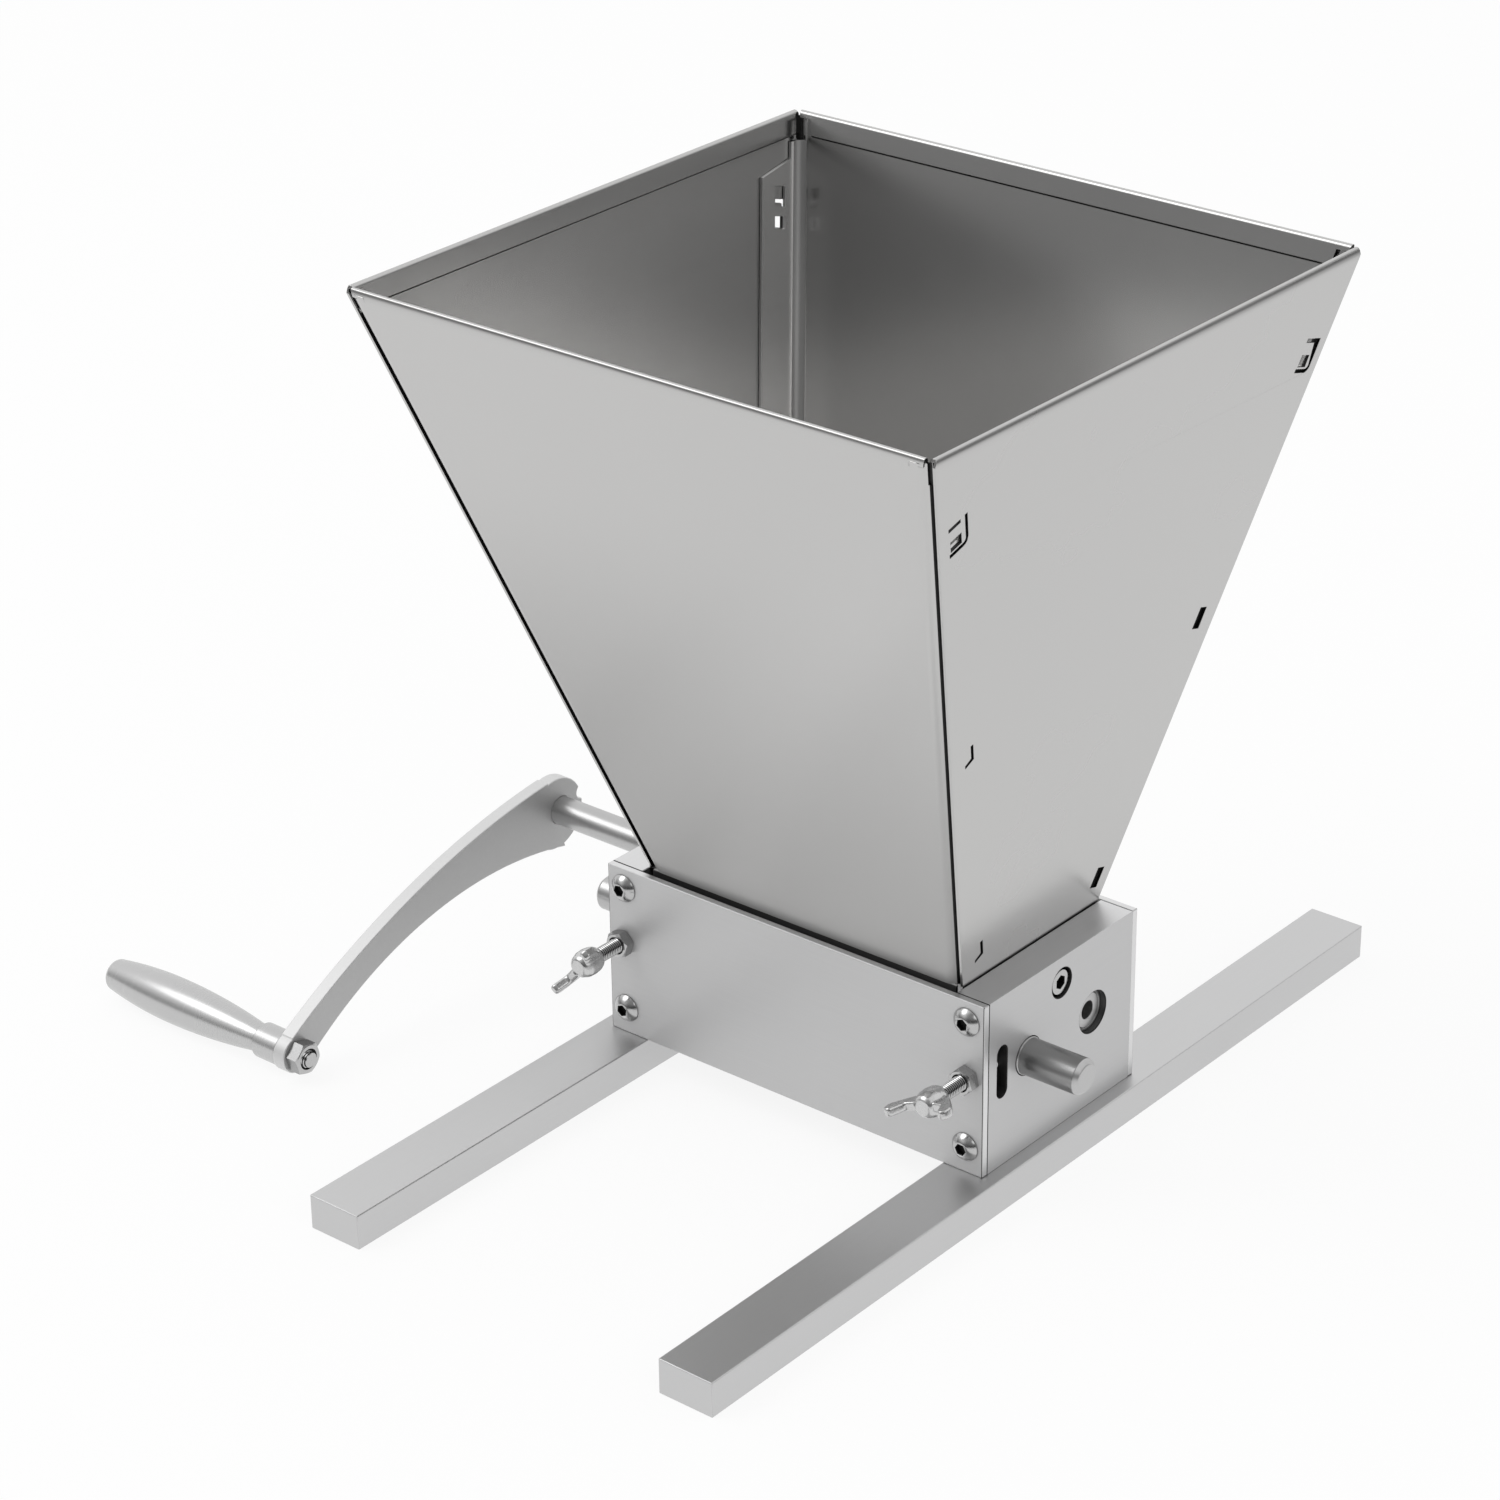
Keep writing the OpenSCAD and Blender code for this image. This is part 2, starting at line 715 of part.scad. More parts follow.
// Corner bend and flange at the plus X end of a front or back sheet, in the sheet's frame
edge_x = hop_x0 - (sheet + flange_gap) * slope(kx);
module corner_flange(k) {
    edge_way = unit([kx / slope(k), 1]);
    leg = [-edge_way[1], edge_way[0]];
    ns = unit([1, -kx / slope(k), kx * k / slope(k)]);
    fs = unit(cross([edge_way[0], edge_way[1], 0], ns));
    fl = fs[2] > 0 ? -fs : fs;
    theta = acos([leg[0], leg[1], 0] * fl);
    m = [[leg[0], 0, edge_way[0], edge_x], [leg[1], 0, edge_way[1], 0], [0, -1, 0, 0],
        [0, 0, 0, 1]];
    reach = 2 * hop_h;
    multmatrix(m) translate([0, 0, -reach]) linear_extrude(height = 2 * reach) face_section(theta);
}
module face_section(theta) {
    c = bend_r / sin(theta / 2) * [cos(theta / 2), sin(theta / 2)];
    edge = flange_w * [cos(theta), sin(theta)];
    leg_run = 5 * bend_r;
    polygon(concat([[leg_run, 0]], arc(c, bend_r, 270, theta + 90, bend_steps),
        [edge, edge + sheet * [sin(theta), -cos(theta)]],
        arc(c, bend_r - sheet, theta + 90, 270, bend_steps), [[leg_run, sheet]]));
}

// Upright outline, given as distances out from the foot and heights, as a side view of the sheet
module face_view(k, points) {
    polygon([for (p = points) turned(p, -atan(k))]);
}

// Front or back sheet, built facing minus Y: lean k, foot y0, lip length. The bend runs up to the
// rim, and the flange ends below it.
module facing_sheet(k, y0, lip, rear) {
    up = slope(k);
    top_h = hop_h + over;
    flat_h = hop_h - 2 * hem_h;
    step_h = hop_h - flange_drop;
    clear_h = hop_h - hem_h - over;
    low_h = hop_h - rim_round - fold_r;
    drop_h = hop_h - rim_drop;
    lap_h = drop_h - sheet;
    far = 2 * hop_h;
    step_w = k * step_h - bend_r - bend_tail;
    lip_x = in_x - lip_in;
    flat_x = edge_x - 3 * bend_r;
    leg_x = edge_x - 1.3 * bend_r;
    lap_x = leg_x - bend_tail;
    hem_x = hop_rim_x - fold_r - hem_in - kx * hop_h;
    bend_x = hem_x + bend_tail;
    on_face(k, y0) {
        intersection() {
            face_run(-hop_rim_x, hop_rim_x) polygon(sheet_points(k, lip));
            face_cut() for (s = [0, 1]) mirror([s, 0]) polygon([[0, -lip - over],
                [lip_x, -lip - over], [lip_x, 0], [flat_x, 0], [flat_x + kx * flat_h, flat_h * up],
                [leg_x + kx * flat_h, flat_h * up], [leg_x + kx * lap_h, lap_h * up],
                [hem_x + kx * lap_h, lap_h * up], [hem_x + kx * top_h, top_h * up],
                [0, top_h * up]]);
        }
        for (s = [0, 1]) mirror([s, 0, 0]) difference() {
            intersection() {
                corner_flange(k);
                face_run(0, hop_rim_x) face_view(k, [[far, 0], [-far, 0],
                    [-far, step_h - (far + step_w) * flange_slant / flange_w], [step_w, step_h],
                    [step_w + k * (clear_h - step_h), clear_h], [k * clear_h - corner_keep, clear_h],
                    [k * top_h - corner_keep, top_h], [far, top_h]]);
                face_cut() polygon([[0, -over], [far, -over], [far, fall_h * up],
                    [edge_x + kx * fall_h, fall_h * up], [bend_x + kx * drop_h, drop_h * up],
                    [lap_x + kx * drop_h, drop_h * up], [lap_x + kx * low_h, low_h * up],
                    [0, low_h * up]]);
            }
            // Windows in the flange: one in line with the side sheet's, one above it
            for (w = [[window_up, window_h], [flange_window_up, flange_window_h]])
                face_run(hop_x0, hop_rim_x) face_view(k, latch_points(k, rear,
                    box_points(window_in, w[0], window_w, w[1])));
        }
    }
}

module hopper_front() {
    color("silver") facing_sheet(kf, hop_front0, front_lip, false);
}
module hopper_back() {
    color("silver") mirror([0, 1, 0]) facing_sheet(kb, hop_back0, back_lip, true);
}

// Latch cuts at one edge of a side sheet whose edge leans by k. x runs in from the edge, y up.
// Point given as [in from a sheet's leaning edge, up along it], as [out from the foot, height]
function edge_point(k, p) = let (a = atan(k))
    [p[1] * sin(a) - p[0] * cos(a), p[1] * cos(a) + p[0] * sin(a)];
// Latch outline at its height on an edge that leans by k, turned to face inwards on the rear edge
function latch_points(k, rear, points) = let (up = hop_h * slope(k) - latch_drop)
    [for (p = points) edge_point(k, [rear ? latch_turn - p[0] : p[0], up + p[1]])];
function box_points(x, y, w, h) = [[x, y], [x + w, y], [x + w, y + h], [x, y + h]];

module edge_cut(points) {
    polygon([for (p = points) [-p[0], p[1]]]);
}
module latch_cuts(k, rear) {
    far = latch_in + latch_w;
    c = [far - latch_r, latch_r];
    pry = rear ? latch_pry : 0;
    edge_cut(latch_points(k, rear, concat([[latch_in, 0]], arc(c, latch_r, 270, 360, bend_steps),
        [[far, latch_h], [far - cut_w - pry, latch_h]],
        arc(c, latch_r - cut_w, 360, 270, bend_steps), [[latch_in, cut_w]])));
    edge_cut(latch_points(k, rear, box_points(latch_in, slit_up, slit_w, cut_w)));
    edge_cut(latch_points(k, rear, box_points(window_in, window_up, window_w, window_h)));
    edge = catch_in + catch_w;
    hook = [[catch_in, 0], [edge, catch_jog], [edge, catch_h], [edge - cut_w, catch_h],
        [edge - cut_w, catch_jog + cut_w], [catch_in, cut_w]];
    for (i = [0, 1]) {
        outline = rear ? box_points(opening_in[i], 0, catch_w, catch_h) : hook;
        edge_cut([for (p = outline) edge_point(k, [p[0], catch_up[i] + p[1]])]);
    }
}

// Right side sheet, mirrored for the left
module side_sheet() {
    reach = hop_rim_front + over;
    foot_y = [edge_back - hop_front0, hop_back0 - edge_back];
    lip_y = [foot_y[0] + lip_in, foot_y[1] - lip_in];
    top_y = [foot_y[0] - kf * hop_h, foot_y[1] + kb * hop_h];
    fall_y = [foot_y[0] - kf * fall_h, foot_y[1] + kb * fall_h];
    hem_y = corner_keep + hem_space;
    top_h = hop_h + over;
    lean = atan(kx);
    difference() {
        intersection() {
            translate([hop_x0, reach, hop_z]) rotate([90, 0, 0]) linear_extrude(height = 2 * reach)
                polygon([for (p = sheet_points(kx, seat_h)) turned(p, lean)]);
            translate([0, 0, hop_z]) rotate([90, 0, 90]) linear_extrude(height = hop_rim_x + over)
                difference() {
                    polygon([[lip_y[0], -seat_h - over], [lip_y[1], -seat_h - over], [lip_y[1], 0],
                        [foot_y[1], 0], [fall_y[1], fall_h], [top_y[1] - rim_clip, hop_h + over],
                        [top_y[0] + rim_clip, hop_h + over], [fall_y[0], fall_h], [foot_y[0], 0],
                        [lip_y[0], 0]]);
                    translate([-hop_front0, 0]) latch_cuts(kf, false);
                    translate([hop_back0, 0]) mirror([1, 0]) latch_cuts(kb, true);
                }
        }
        // The hem ends short of the corners, along the front and back sheets
        intersection() {
            translate([hop_x0, reach, hop_z]) rotate([90, 0, 0]) linear_extrude(height = 2 * reach)
                rotate([0, 0, -lean]) hem_cut(kx);
            translate([0, 0, hop_z]) rotate([90, 0, 90]) linear_extrude(height = hop_rim_x + over) {
                polygon([[-reach, 0], [hem_y - hop_front0, 0],
                    [hem_y - hop_front0 - kf * top_h, top_h], [-reach, top_h]]);
                polygon([[reach, 0], [hop_back0 - hem_y, 0],
                    [hop_back0 - hem_y + kb * top_h, top_h], [reach, top_h]]);
            }
        }
    }
}
module hopper_right() {
    color("silver") side_sheet();
}
module hopper_left() {
    color("silver") mirror([1, 0, 0]) side_sheet();
}

left_bar();
right_bar();
bar_screws();
left_block();
right_block();
front_plate();
back_plate();
front_plate_screws();
back_plate_screws();
clamp_nuts();
tie_rod();
tie_rod_screws();
rear_bushes();
drive_shaft();
drive_roller();
crank_arm();
arm_set_screw();
grip_bolt();
grip_nut();
grip_collar();
grip();
front_axle();
idler_roller();
idler_bushes();
left_pad();
right_pad();
left_wing_screw();
right_wing_screw();
hopper_front();
hopper_back();
hopper_left();
hopper_right();
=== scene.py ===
import math

import bmesh
import bpy
from bpy.props import FloatProperty, FloatVectorProperty, IntProperty, PointerProperty
from mathutils import Matrix, Vector


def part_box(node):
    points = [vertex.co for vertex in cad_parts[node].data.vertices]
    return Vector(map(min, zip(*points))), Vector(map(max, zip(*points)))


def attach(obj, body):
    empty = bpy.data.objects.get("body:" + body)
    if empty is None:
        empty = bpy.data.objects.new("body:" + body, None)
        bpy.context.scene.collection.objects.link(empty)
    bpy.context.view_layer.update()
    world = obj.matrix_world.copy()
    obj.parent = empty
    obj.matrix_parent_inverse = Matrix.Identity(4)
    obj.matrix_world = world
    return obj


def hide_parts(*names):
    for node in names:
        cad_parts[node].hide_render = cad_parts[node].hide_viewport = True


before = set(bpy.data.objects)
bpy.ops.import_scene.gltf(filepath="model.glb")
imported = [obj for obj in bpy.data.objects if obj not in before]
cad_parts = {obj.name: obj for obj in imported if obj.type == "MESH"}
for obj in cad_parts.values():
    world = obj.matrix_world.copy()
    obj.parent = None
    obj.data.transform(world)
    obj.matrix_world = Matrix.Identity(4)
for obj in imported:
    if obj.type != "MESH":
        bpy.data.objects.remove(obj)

bl_info = {
    "name": "Malt mill",
    "version": (1, 0, 0),
    "blender": (4, 5, 0),
    "location": "3D View > Sidebar > Malt mill",
    "description": "Dresses a hand cranked malt mill with finishes, screws, threads and knurled rollers",
    "category": "Object",
}


def measure(name, description, default):
    """A length that a user may change, in metres."""
    return FloatProperty(name=name, description=description, default=default, unit="LENGTH")


def span(name, description, default):
    """Two lengths that a user may change, in metres."""
    return FloatVectorProperty(
        name=name, description=description, default=default, size=2, unit="LENGTH")


def tint(name, description, default):
    """A base colour that a user may change."""
    return FloatVectorProperty(
        name=name, description=description, default=default, size=3, subtype="COLOR")


class MillSizes(bpy.types.PropertyGroup):
    """Sizes of the small forms that the mill's pieces carry"""

    edge: measure("Milled edge", "Bevel on the edges of the milled blocks, bars and plates", 0.0003)
    sheet_edge: measure("Sheet edge", "Bevel on the cut edges of the hopper's sheets", 0.00012)
    shaft_edge: measure("Shaft edge", "Bevel on the edges of the shafts", 0.00025)
    small_edge: measure("Small edge", "Bevel on the edges of bushes, pads and the set screw", 0.0002)
    collar_edge: measure("Collar edge", "Bevel on the edges of the grip's collar", 0.0004)
    button_width: measure("Button head width", "Diameter of a plate screw's head", 0.0095)
    button_height: measure("Button head height", "Height of a plate screw's head", 0.00275)
    button_key: measure("Button head key", "Width across flats of a plate screw's socket", 0.0033)
    cap_width: measure("Cap head width", "Diameter of a tie rod or bar screw's head", 0.0085)
    cap_height: measure("Cap head height", "Height of a tie rod or bar screw's head", 0.005)
    cap_key: measure("Cap head key", "Width across flats of a tie rod or bar screw's socket", 0.004)
    shank: measure("Screw shank", "Diameter of the plate, bar and wing screws", 0.005)
    pitch: measure("Thread pitch", "Distance between two turns of a wing screw's thread", 0.0008)
    nut_width: measure("Clamp nut width", "Width across flats of a clamp nut", 0.008)
    bolt_nut_width: measure("Grip nut width", "Width across flats of the nut behind the grip", 0.010)
    bolt: measure("Grip bolt", "Diameter of the bolt that carries the grip", 0.006)
    arm_angle: FloatProperty(
        name="Arm angle", description="Angle of the crank arm below the horizontal",
        default=math.radians(15.7), subtype="ANGLE")
    knurls: IntProperty(
        name="Knurls", description="Number of knurls round a roller", default=56, min=12)
    knurl_depth: measure("Knurl depth", "Depth of the knurled grooves", 0.00045)
    lens: FloatProperty(
        name="Lens", description="Focal length of the camera on a 36 mm sensor",
        default=103.04, unit="CAMERA")


class MillColours(bpy.types.PropertyGroup):
    """Base colours of the mill's metals"""

    sheet: tint("Hopper sheet", "Satin stainless sheet", (0.530, 0.527, 0.522))
    plate: tint("Plates", "Brushed front and back plate", (0.560, 0.560, 0.562))
    block: tint("Blocks", "Milled aluminium end blocks", (0.550, 0.550, 0.553))
    bar: tint("Bars", "Satin aluminium base bars", (0.590, 0.590, 0.592))
    arm_face: tint("Arm face", "Rolled flat faces of the crank arm", (0.480, 0.480, 0.480))
    arm_edge: tint("Arm edge", "Frosted cut edge of the crank arm", (0.74, 0.74, 0.74))
    grip: tint("Grip", "Polished grip and collar", (0.66, 0.66, 0.66))
    screw: tint("Screws", "Bright stainless screws and nuts", (0.50, 0.50, 0.50))
    wing: tint("Wing heads", "Cast heads of the wing screws", (0.60, 0.60, 0.60))
    shaft: tint("Shafts", "Turned steel of the shafts and stubs", (0.30, 0.30, 0.30))
    shaft_end: tint("Shaft ends", "Freshly faced ends of the shafts", (0.52, 0.52, 0.52))
    # Painted shade: this dark colour stands in for the shade inside seams, bores, sockets and thread
    # grooves
    shadow: tint(
        "Seams", "Dull metal inside seams, bores, sockets and thread grooves", (0.035, 0.035, 0.035))
    roller: tint("Rollers", "Knurled steel of the rollers", (0.36, 0.36, 0.365))
    bronze: tint("Bushes", "Plain bearing bronze", (0.62, 0.42, 0.22))
    floor: tint("Floor", "Pale floor that the mill stands on", (0.97, 0.97, 0.97))


# Node trees

class Wire:
    """An output of a node, on which Python's operators add Math nodes."""

    def __init__(self, board, socket):
        self.board = board
        self.socket = socket

    def maths(self, operation, *values):
        return self.board.node("ShaderNodeMath", dict(enumerate(values)), operation=operation)

    def __add__(self, other):
        return self.maths("ADD", self, other)

    def __radd__(self, other):
        return self.maths("ADD", other, self)

    def __sub__(self, other):
        return self.maths("SUBTRACT", self, other)

    def __rsub__(self, other):
        return self.maths("SUBTRACT", other, self)

    def __mul__(self, other):
        return self.maths("MULTIPLY", self, other)

    def __rmul__(self, other):
        return self.maths("MULTIPLY", other, self)

    def __truediv__(self, other):
        return self.maths("DIVIDE", self, other)

    def twin(self, name):
        """Another output of the same node."""
        return Wire(self.board, self.socket.node.outputs[name])


class Board:
    """A node tree, with one method that makes any of its nodes."""

    def __init__(self, tree):
        self.tree = tree

    def feed(self, socket, value):
        """Links wires to a socket, or sets its plain value."""
        for one in value if isinstance(value, list) else [value]:
            if isinstance(one, Wire):
                self.tree.links.new(one.socket, socket)
            else:
                socket.default_value = one

    def node(self, kind, inputs=None, out=0, **settings):
        """Makes a node with those settings and inputs, and gives the output asked for."""
        made = self.tree.nodes.new(kind)
        for key, value in settings.items():
            setattr(made, key, value)
        for key, value in (inputs or {}).items():
            self.feed(made.inputs[key], value)
        return Wire(self, made.outputs[out]) if len(made.outputs) else made


def empty_board(owner):
    """The emptied node tree of a material or world."""
    owner.use_nodes = True
    owner.node_tree.nodes.clear()
    return Board(owner.node_tree)


def mix_colour(board, share, low, high):
    """Runs from the colour low to the colour high as the share goes from 0 to 1."""
    return board.node("ShaderNodeMix", {0: share, 6: low, 7: high}, 2, data_type="RGBA")


def shade(colour, factor):
    return tuple(min(c * factor, 1.0) for c in colour) + (1.0,)


def ramp(board, value, start, end, low=0.0, high=1.0):
    """Runs smoothly from low to high as the value goes from start to end."""
    return board.node("ShaderNodeMapRange", {
        "Value": value, "From Min": start, "From Max": end, "To Min": low, "To Max": high},
        interpolation_type="SMOOTHSTEP")


# Weights of a metal's working marks and clouds in its colour, and of its clouds in its roughness
MARKS_IN_COLOUR = 1.4
CLOUDS_IN_COLOUR = 0.9
CLOUDS_IN_GLOSS = 1.6
# Colour's factor that paints shade on a sheet's hazy foot, and that foot's added roughness and share of
# clear metal
FOOT_PAINTED_SHADE = 0.78
FOOT_HAZE = 0.15
FOOT_METAL = 0.25


def metal(name, colour, roughness, grain, depth, tone=0.05, gloss=0.06, blotch=22.0, bare=1.0,
          foot=None):
    """A metal whose grain is noise stretched along its working marks.

    grain is the number of marks in a metre along X, Y and Z, and depth how deep they are. A metal
    with no depth has cloudy sheen alone. bare is its share of clear metal, against a matt haze.
    foot gives four heights: a dark line of painted shadow, for a seam's shade, lies between the first
    two, and a hazy foot darkened with painted shade runs out between the last two.
    """
    material = bpy.data.materials.new(name)
    board = empty_board(material)
    place = board.node("ShaderNodeTexCoord", out="Object")
    along = board.node("ShaderNodeMapping", {"Vector": place, "Scale": grain})
    marks = board.node(
        "ShaderNodeTexNoise", {"Vector": along, "Scale": 1.0, "Detail": 3.0, "Roughness": 0.6})
    cloud = board.node(
        "ShaderNodeTexNoise", {"Vector": place, "Scale": blotch, "Detail": 4.0, "Roughness": 0.55})
    wear = marks if depth else cloud
    share = 0.5 + (wear - 0.5) * MARKS_IN_COLOUR + (cloud - 0.5) * CLOUDS_IN_COLOUR
    base = mix_colour(board, share, shade(colour, 1 - tone), shade(colour, 1 + tone))
    rough = roughness + (wear - 0.5) * gloss + (cloud - 0.5) * gloss * CLOUDS_IN_GLOSS
    if foot:
        height = board.node("ShaderNodeSeparateXYZ", {0: place}, "Z")
        clear = ramp(board, height, foot[2], foot[3])
        # Painted shadow: a dark line between the first two heights stands in for the seam's shade, and
        # the foot's colour factor paints shade
        above = height.maths("GREATER_THAN", height, foot[0])
        below = height.maths("LESS_THAN", height, foot[1])
        painted_seam_shadow = above * below
        base = mix_colour(board, clear, shade(colour, FOOT_PAINTED_SHADE), base)
        base = mix_colour(board, painted_seam_shadow, base, shade(bpy.context.scene.mill_colours.shadow, 1))
        rough = rough + (1 - clear) * FOOT_HAZE
        bare = bare * (FOOT_METAL + clear * (1 - FOOT_METAL)) * (1 - painted_seam_shadow)
    inputs = {"Base Color": base, "Metallic": bare, "Roughness": rough}
    if depth:
        inputs["Normal"] = board.node(
            "ShaderNodeBump", {"Height": marks, "Strength": 1.0, "Distance": depth})
    surface = board.node("ShaderNodeBsdfPrincipled", inputs)
    board.node("ShaderNodeOutputMaterial", {"Surface": surface})
    return material


# A finish with no marks, and the heights of the front sheet's painted seam shadow and of its hazy foot
# with painted shade
PLAIN = (1, 1, 1)
FRONT_FOOT = (0.0692, 0.0721, 0.085, 0.235)

# Each finish's colour, the factor on it, and what metal is given from its roughness on
FINISHES = {
    "satin_sheet": ("sheet", 1, 0.27, PLAIN, 0, 0.012, 0.03, 9.0),
    # The front sheet: a slightly lighter copy of the sheet as painted light, with painted shade at its
    # foot
    "front_sheet": ("sheet", 1.04, 0.29, PLAIN, 0, 0.012, 0.03, 9.0, 0.95, FRONT_FOOT),
    # Inner faces: a lighter copy of the sheet on the front and back sheets, painted light, and a darker
    # one on the side sheets, painted shade
    "inner_sheet": ("sheet", 1.10, 0.21, PLAIN, 0, 0.012, 0.03, 9.0),
    "inner_side": ("sheet", 0.92, 0.21, PLAIN, 0, 0.012, 0.03, 9.0),
    # Inner bends: a darker copy of the sheet, painted shade in the crease
    "inner_bend": ("sheet", 0.6, 0.42, PLAIN, 0, 0.012, 0.03, 9.0, 0.8),
    "brushed_plate": ("plate", 1, 0.42, (25, 4000, 4000), 0.0000025, 0.035, 0.06, 14.0, 0.50),
    "plate_end": ("plate", 1.35, 0.42, (2000, 2000, 2000), 0.0000040, 0.05, 0.06, 60.0),
    "milled_block": ("block", 1, 0.38, (4000, 25, 4000), 0.0000025, 0.035, 0.06, 18.0, 0.60),
    "block_top": ("block", 1.35, 0.45, (4000, 25, 4000), 0.0000025, 0.035, 0.06, 18.0),
    "satin_bar": ("bar", 1, 0.38, (5000, 40, 5000), 0.0000025, 0.03, 0.05, 20.0),
    "arm_face": ("arm_face", 1, 0.42, (1200, 900, 900), 0.0000025, 0.03, 0.05, 26.0, 0.6),
    "arm_edge": ("arm_edge", 1, 0.62, (2600, 2600, 2600), 0.000018, 0.05, 0.08, 60.0),
    "polished_grip": ("grip", 0.82, 0.27, (3000, 60, 60), 0.0000020, 0.03, 0.04, 30.0, 0.75),
    "bright_screw": ("screw", 1, 0.20, (1500, 1500, 1500), 0.0000030, 0.06, 0.08, 160.0),
    # Nut flats: a darker copy of the screw steel, painted shade
    "nut_flat": ("screw", 0.70, 0.24, (1500, 1500, 1500), 0.0000030, 0.08, 0.08, 160.0),
    "cast_wing": ("wing", 1, 0.26, (700, 700, 700), 0.000050, 0.08, 0.12, 260.0),
    "turned_shaft": ("shaft", 1, 0.30, (5000, 60, 60), 0.0000040, 0.05, 0.06, 60.0, 0.85),
    # A lighter copy of the shaft steel, painted light
    "crank_shaft": ("shaft", 1.7, 0.30, (5000, 60, 60), 0.0000040, 0.05, 0.06, 60.0, 0.8),
    "shaft_end": ("shaft_end", 1, 0.36, (40, 2500, 2500), 0.0000040, 0.05, 0.06, 60.0),
    "knurled_roller": ("roller", 1, 0.34, (1500, 1500, 1500), 0.0000050, 0.08, 0.08, 60.0),
    # Painted shade in seams, sockets, grooves and gaps
    "dull_seam": ("shadow", 1, 0.55, PLAIN, 0),
    # Painted shade in the blocks' bores
    "dull_bore": ("shadow", 4, 0.45, PLAIN, 0),
    "bush_bronze": ("bronze", 1, 0.30, (4000, 80, 80), 0.0000040, 0.06, 0.06, 60.0),
}


def finish(key):
    """The finish of that name, made when it is first asked for."""
    made = bpy.data.materials.get(key)
    if made is None:
        colour, factor, *rest = FINISHES[key]
        given = getattr(bpy.context.scene.mill_colours, colour)
        made = metal(key, shade(given, factor)[:3], *rest)
    return made


# Meshes

# Angles between faces up to which pieces are smooth, in degrees
SMOOTH = 28.0
THREAD_SMOOTH = 40
WING_SMOOTH = 60
WING_SCREW_SMOOTH = 45
KNURL_SMOOTH = 55
GRIP_SMOOTH = 30
# Angle between faces past which an edge is broken, and the one up to which they are one flat face
SHARP = 32
ONE_FLAT = 0.4
# Distance in metres within which two corners of a mesh are one
SAME_SPOT = 0.000001


def new_piece(name, bm, materials, smooth=SMOOTH):
    """Turns a bmesh into a piece that is smooth up to that angle between its faces."""
    mesh = bpy.data.meshes.new(name)
    bm.to_mesh(mesh)
    bm.free()
    for material in materials:
        mesh.materials.append(material)
    piece = bpy.data.objects.new(name, mesh)
    bpy.context.scene.collection.objects.link(piece)
    smooth_by_angle(mesh, smooth)
    return piece


def smooth_by_angle(mesh, angle):
    mesh.polygons.foreach_set("use_smooth", [True] * len(mesh.polygons))
    mesh.set_sharp_from_angle(angle=math.radians(angle))
    mesh.update()


def settle(piece):
    """Turns a piece with modifiers into a plain mesh."""
    graph = bpy.context.evaluated_depsgraph_get()
    graph.update()
    plain = bpy.data.meshes.new_from_object(piece.evaluated_get(graph), depsgraph=graph)
    piece.modifiers.clear()
    old = piece.data
    piece.data = plain
    bpy.data.meshes.remove(old)
    plain.name = piece.name
    return piece


def paint_shade_on_hidden(piece):
    """Paints shade on the faces that are marked as inside a socket or groove, in the seams' dark finish.
    """
    marks = piece.data.attributes.get("hidden")
    if marks is None:
        return
    inside = [face for face, mark in zip(piece.data.polygons, marks.data) if mark.value]
    if inside:
        piece.data.materials.append(finish("dull_seam"))
    for face in inside:
        face.material_index = len(piece.data.materials) - 1
    piece.data.attributes.remove(marks)


def hand_over(piece, body, slot, *nodes):
    """Lets the piece ride on its body in place of the solids it stands for."""
    paint_shade_on_hidden(piece)
    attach(piece, body)
    if nodes:
        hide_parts(*nodes)
    return piece


def copy_of(node):
    """The solid's triangles, merged and with its flat faces made whole."""
    bm = bmesh.new()
    bm.from_mesh(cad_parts[node].data)
    bmesh.ops.remove_doubles(bm, verts=bm.verts, dist=SAME_SPOT)
    bmesh.ops.dissolve_limit(
        bm, angle_limit=math.radians(ONE_FLAT), verts=bm.verts, edges=bm.edges,
        use_dissolve_boundaries=False)
    return bm


def broken_edges(node, key, body, slot, width):
    """The solid with its sharp edges broken by a small bevel, in place of the solid."""
    piece = new_piece(node + "_finished", copy_of(node), [finish(key)])
    bevel = piece.modifiers.new("Broken edges", "BEVEL")
    bevel.width = width
    bevel.segments = 2
    bevel.limit_method = "ANGLE"
    bevel.angle_limit = math.radians(SHARP)
    bevel.use_clamp_overlap = False
    level = piece.modifiers.new("Flat faces", "WEIGHTED_NORMAL")
    level.keep_sharp = True
    settle(piece)
    return hand_over(piece, body, slot, node)


def refinish(piece, key, chosen):
    """Gives another finish to the faces that are chosen by their middle and normal."""
    piece.data.materials.append(finish(key))
    for face in piece.data.polygons:
        if chosen(face.center, face.normal):
            face.material_index = len(piece.data.materials) - 1


def rings(bm, rows, steps=48, place=None, closed=False, hidden=()):
    """Skins a row of rings, each a radius and a height or a function that gives them by angle.

    The bands between rings whose numbers are hidden are marked as inside a socket or gap, for painted
    shade.
    """
    mark = bm.faces.layers.int.get("hidden") or bm.faces.layers.int.new("hidden")
    place = place or Matrix.Identity(4)
    loops = []
    for row in rows:
        loop = []
        for i in range(steps):
            angle = 2 * math.pi * i / steps
            radius, height = row(angle) if callable(row) else row
            loop.append(bm.verts.new(
                place @ Vector((radius * math.cos(angle), radius * math.sin(angle), height))))
        loops.append(loop)
    pairs = list(zip(loops, loops[1:]))
    if closed:
        pairs.append((loops[-1], loops[0]))
    for number, (low, high) in enumerate(pairs):
        for i in range(steps):
            j = (i + 1) % steps
            bm.faces.new((low[i], low[j], high[j], high[i]))[mark] = number in hidden


